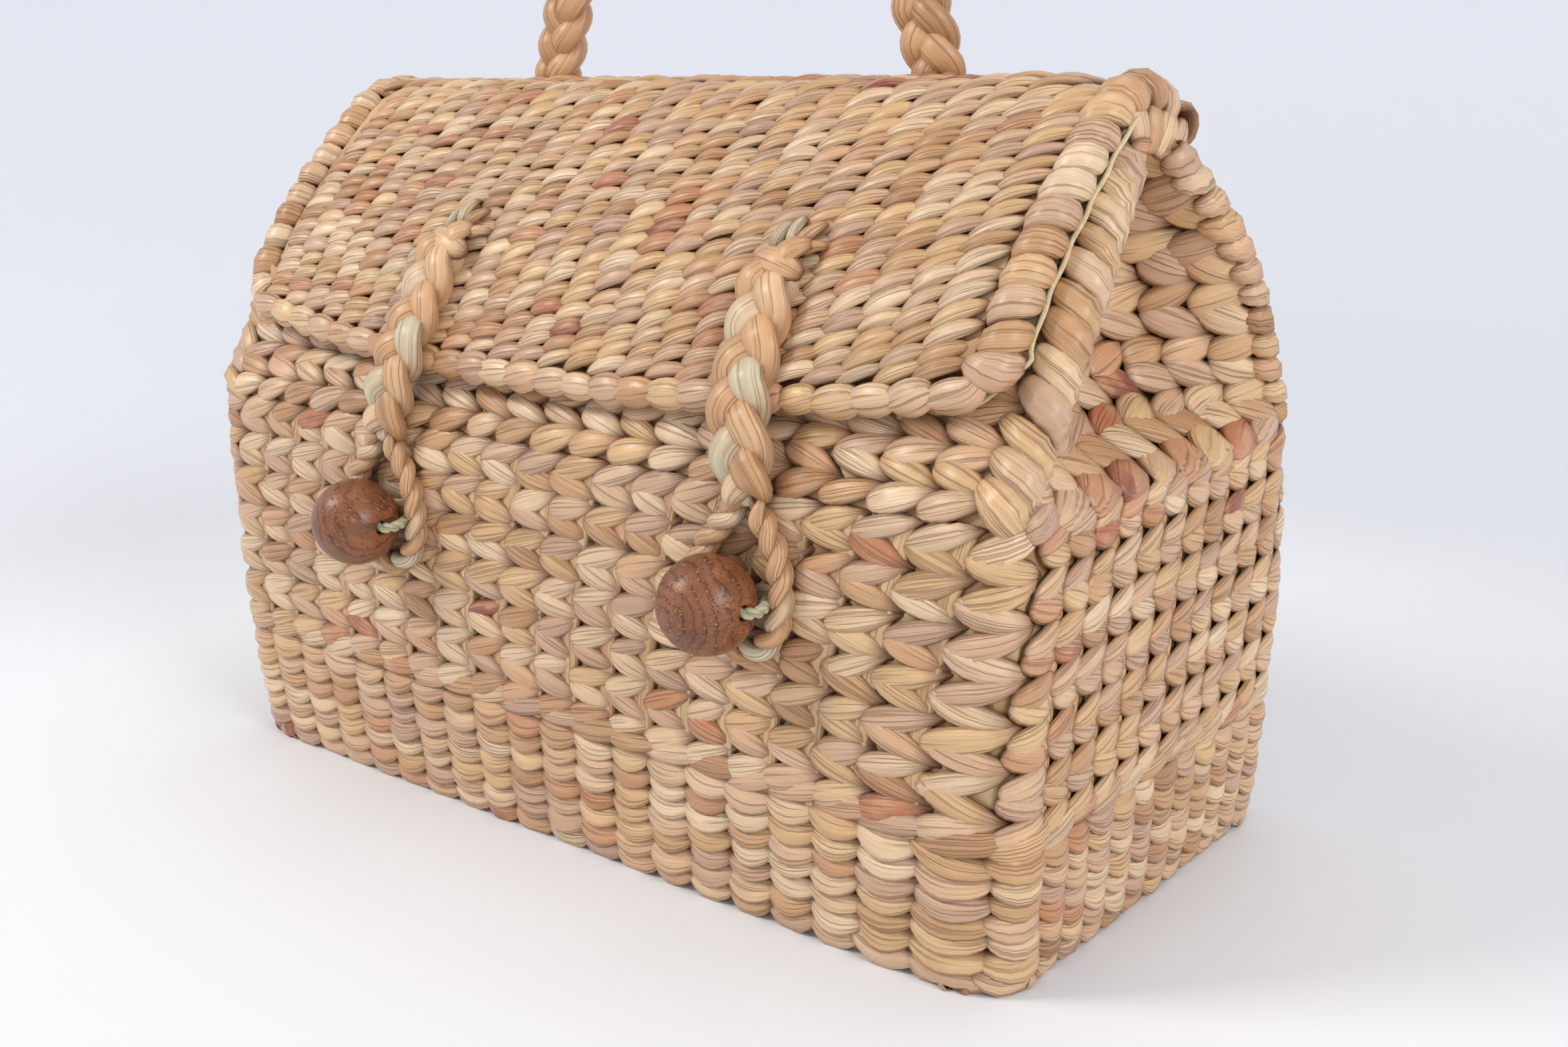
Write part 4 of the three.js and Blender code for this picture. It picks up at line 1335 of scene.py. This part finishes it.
# %% Bead cords
CORD_ROUTE = {
    "out": [0.69, 0.7, 0.77, 0.885, 0.975, 1.075, 1.11, 1.05, 0.9, 0.5],
    "back": [1.0, 0.88, 0.75, 0.62, 0.5, 0.3, 0.14, 0.045, 0.035, 0.035],
}
# 8D865C is the painted shade where the cord's strands dip and at their edges
cord_reed = reed_material("pale twisted sedge cord", [(0.0, "#C3C196"), (0.5, "#D6D2AC"), (0.94, "#E4DFC2")],
                          "#8D865C", 0.5)
for side, at in STRAPS.items():
    middle = front_wall(at["z"]) - BEAD_GAP - BEAD / 2
    bead = turned_bead(f"bead_{side}_turned", (at["x"], middle, at["z"]), at["lean"])
    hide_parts(f"bead_{side}")
    reach = front_wall(at["z"]) - SEAT - middle
    half = [(out * BEAD / 2, middle + back * reach, at["z"]) for out, back in zip(*CORD_ROUTE.values())]
    route = [(at["x"] + x, y, z) for x, y, z in half] + [(at["x"] - x, y, z) for x, y, z in half[::-1]]
    cord_path = smooth_path(route, 8)
    cord_flat = np.tile([0.0, 0.0, 1.0], (len(cord_path), 1))
    cord = bind(f"bead_cord_{side}_twist", cord_path, cord_flat, (1.05, 1.05), (0.7, 0.7), 7.0,
                cord_reed, kind="cord", taper=2.0, tones=(0.4, 0.8))
    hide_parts(f"bead_cord_{side}")

# %% [markdown]
# ## Room
# A matt paper sweep could be a plane, but its far edge would show as a line. So the floor is a wide
# disc that curves up into a bowl. Shade is painted into its colour: it is darkest a little way out
# from the bag, where less light comes back, and paler near the bag and far out. Its rim has a
# painted glow, a faint emission as of a lit studio wall.

# %% Floor
SWEEP_FLAT = 1.0
SWEEP_START = 1.4
SWEEP_RADIUS = 2.2
floor_mat, tree, shader = new_material("matt paper sweep", Roughness=0.75, IOR=1.4)
place = add(tree, "ShaderNodeTexCoord").outputs["Object"]
length = add(tree, "ShaderNodeVectorMath", {"operation": "LENGTH"}, _0=place).outputs["Value"]
away = add(tree, "ShaderNodeMapRange", _0=length, _1=0.0, _2=4.0, _3=0.0, _4=1.0).outputs[0]
# painted shade: the paper is darkest about 0.45 m from the middle, paler near the bag and far out, for the
# falloff of the lamps' light
paper_and_painted_shade_stops = [(0.07, "#EEEFF2"), (0.11, "#E2E4E9"), (0.4, "#ECEDF1"), (1.0, "#F0F1F5")]
# painted glow: a faint emission on the sweep's rim stands in for light on a studio wall
glow_stops = [(0.12, "#000000"), (0.35, "#6A6C72"), (0.6, "#7C7E85")]
paper = add(tree, "ShaderNodeValToRGB", stops=paper_and_painted_shade_stops, _0=away).outputs["Color"]
glow = add(tree, "ShaderNodeValToRGB", stops=glow_stops, _0=away).outputs["Color"]
tree.links.new(paper, shader.inputs["Base Color"])
tree.links.new(glow, shader.inputs["Emission Color"])
shader.inputs["Emission Strength"].default_value = 1.0
bm = bmesh.new()
profile = [(0.0, 0.0), (SWEEP_FLAT, 0.0)]
profile += [(SWEEP_START + SWEEP_RADIUS * math.sin(a), SWEEP_RADIUS * (1 - math.cos(a)))
            for a in np.linspace(0, math.pi / 2, 24)]
ring = [bm.verts.new((r, 0.0, z)) for r, z in profile]
edges = [bm.edges.new(pair) for pair in zip(ring, ring[1:])]
bmesh.ops.spin(bm, geom=ring + edges, axis=(0, 0, 1), cent=(0, 0, 0), angle=math.tau, steps=72,
               use_merge=True)
bmesh.ops.remove_doubles(bm, verts=bm.verts, dist=1e-5)
bmesh.ops.recalc_face_normals(bm, faces=bm.faces)
bmesh.ops.reverse_faces(bm, faces=bm.faces)
floor_mesh = bpy.data.meshes.new("floor")
bm.to_mesh(floor_mesh)
bm.free()
floor_mesh.shade_smooth()
floor = bpy.data.objects.new("floor", floor_mesh)
floor.data.materials.append(floor_mat)
bpy.context.scene.collection.objects.link(floor)
print("floor", len(floor_mesh.polygons), "faces")

# %% [markdown]
# ## Light
# The bag stands by a window: one soft light comes from the front left. A second from the right
# keeps the end wall readable, a weak one from above behind lights the ridge, and a pale world
# fills what is left.

# %% World and lights
BAG_MIDDLE = (0, 0, 0.1)
world = bpy.data.worlds.new("pale room")
bpy.context.scene.world = world
world.use_nodes = True
background = world.node_tree.nodes["Background"]
background.inputs["Color"].default_value = srgb("#ECEEF2")
background.inputs["Strength"].default_value = 0.5


def area_light(name, place, size, power, colour):
    """A square light that faces the middle of the bag."""
    lamp = bpy.data.lights.new(name, "AREA")
    lamp.shape = "SQUARE"
    lamp.size = size
    lamp.energy = power
    lamp.color = srgb(colour)[:3]
    holder = bpy.data.objects.new(name, lamp)
    bpy.context.scene.collection.objects.link(holder)
    holder.location = place
    holder.rotation_euler = (Vector(BAG_MIDDLE) - Vector(place)).to_track_quat("-Z", "Y").to_euler()
    print(name, power, "W")


area_light("window light", (-0.9, -1.0, 1.3), 0.55, 15, "#FFFCF6")
area_light("fill light", (1.6, -0.4, 0.9), 0.7, 13, "#FFFEFC")
area_light("top light", (0.1, 0.5, 1.7), 1.0, 5, "#FFFFFF")

# %% [markdown]
# ## Camera
# The camera stands where a person would who looks down a little at the right front corner. Its
# direction is built from three angles, and its lens from the focal length in pixels of the frame.

# %% Camera
CAMERA_AT = Vector((0.3541, -0.3943, 0.2265))
AZIMUTH = math.radians(39.7)
ELEVATION = math.radians(15.23)
ROLL = math.radians(-1.02)
PHOTO_WIDTH = 2348
FOCAL_PIXELS = 2587
forward = Vector((-math.sin(AZIMUTH) * math.cos(ELEVATION), math.cos(AZIMUTH) * math.cos(ELEVATION),
                  -math.sin(ELEVATION)))
right = forward.cross(Vector((0, 0, 1))).normalized()
above = right.cross(forward)
tilted_right = math.cos(ROLL) * right + math.sin(ROLL) * above
tilted_up = -math.sin(ROLL) * right + math.cos(ROLL) * above
camera_data = bpy.data.cameras.new("camera")
camera_data.sensor_width = 36.0
camera_data.lens = camera_data.sensor_width * FOCAL_PIXELS / PHOTO_WIDTH
camera = bpy.data.objects.new("camera", camera_data)
bpy.context.scene.collection.objects.link(camera)
turn = Matrix((tilted_right, tilted_up, -forward)).transposed()
camera.matrix_world = Matrix.Translation(CAMERA_AT) @ turn.to_4x4()
bpy.context.scene.camera = camera
bpy.context.scene.view_settings.view_transform = "Standard"
print("lens", round(camera_data.lens, 2), "mm")
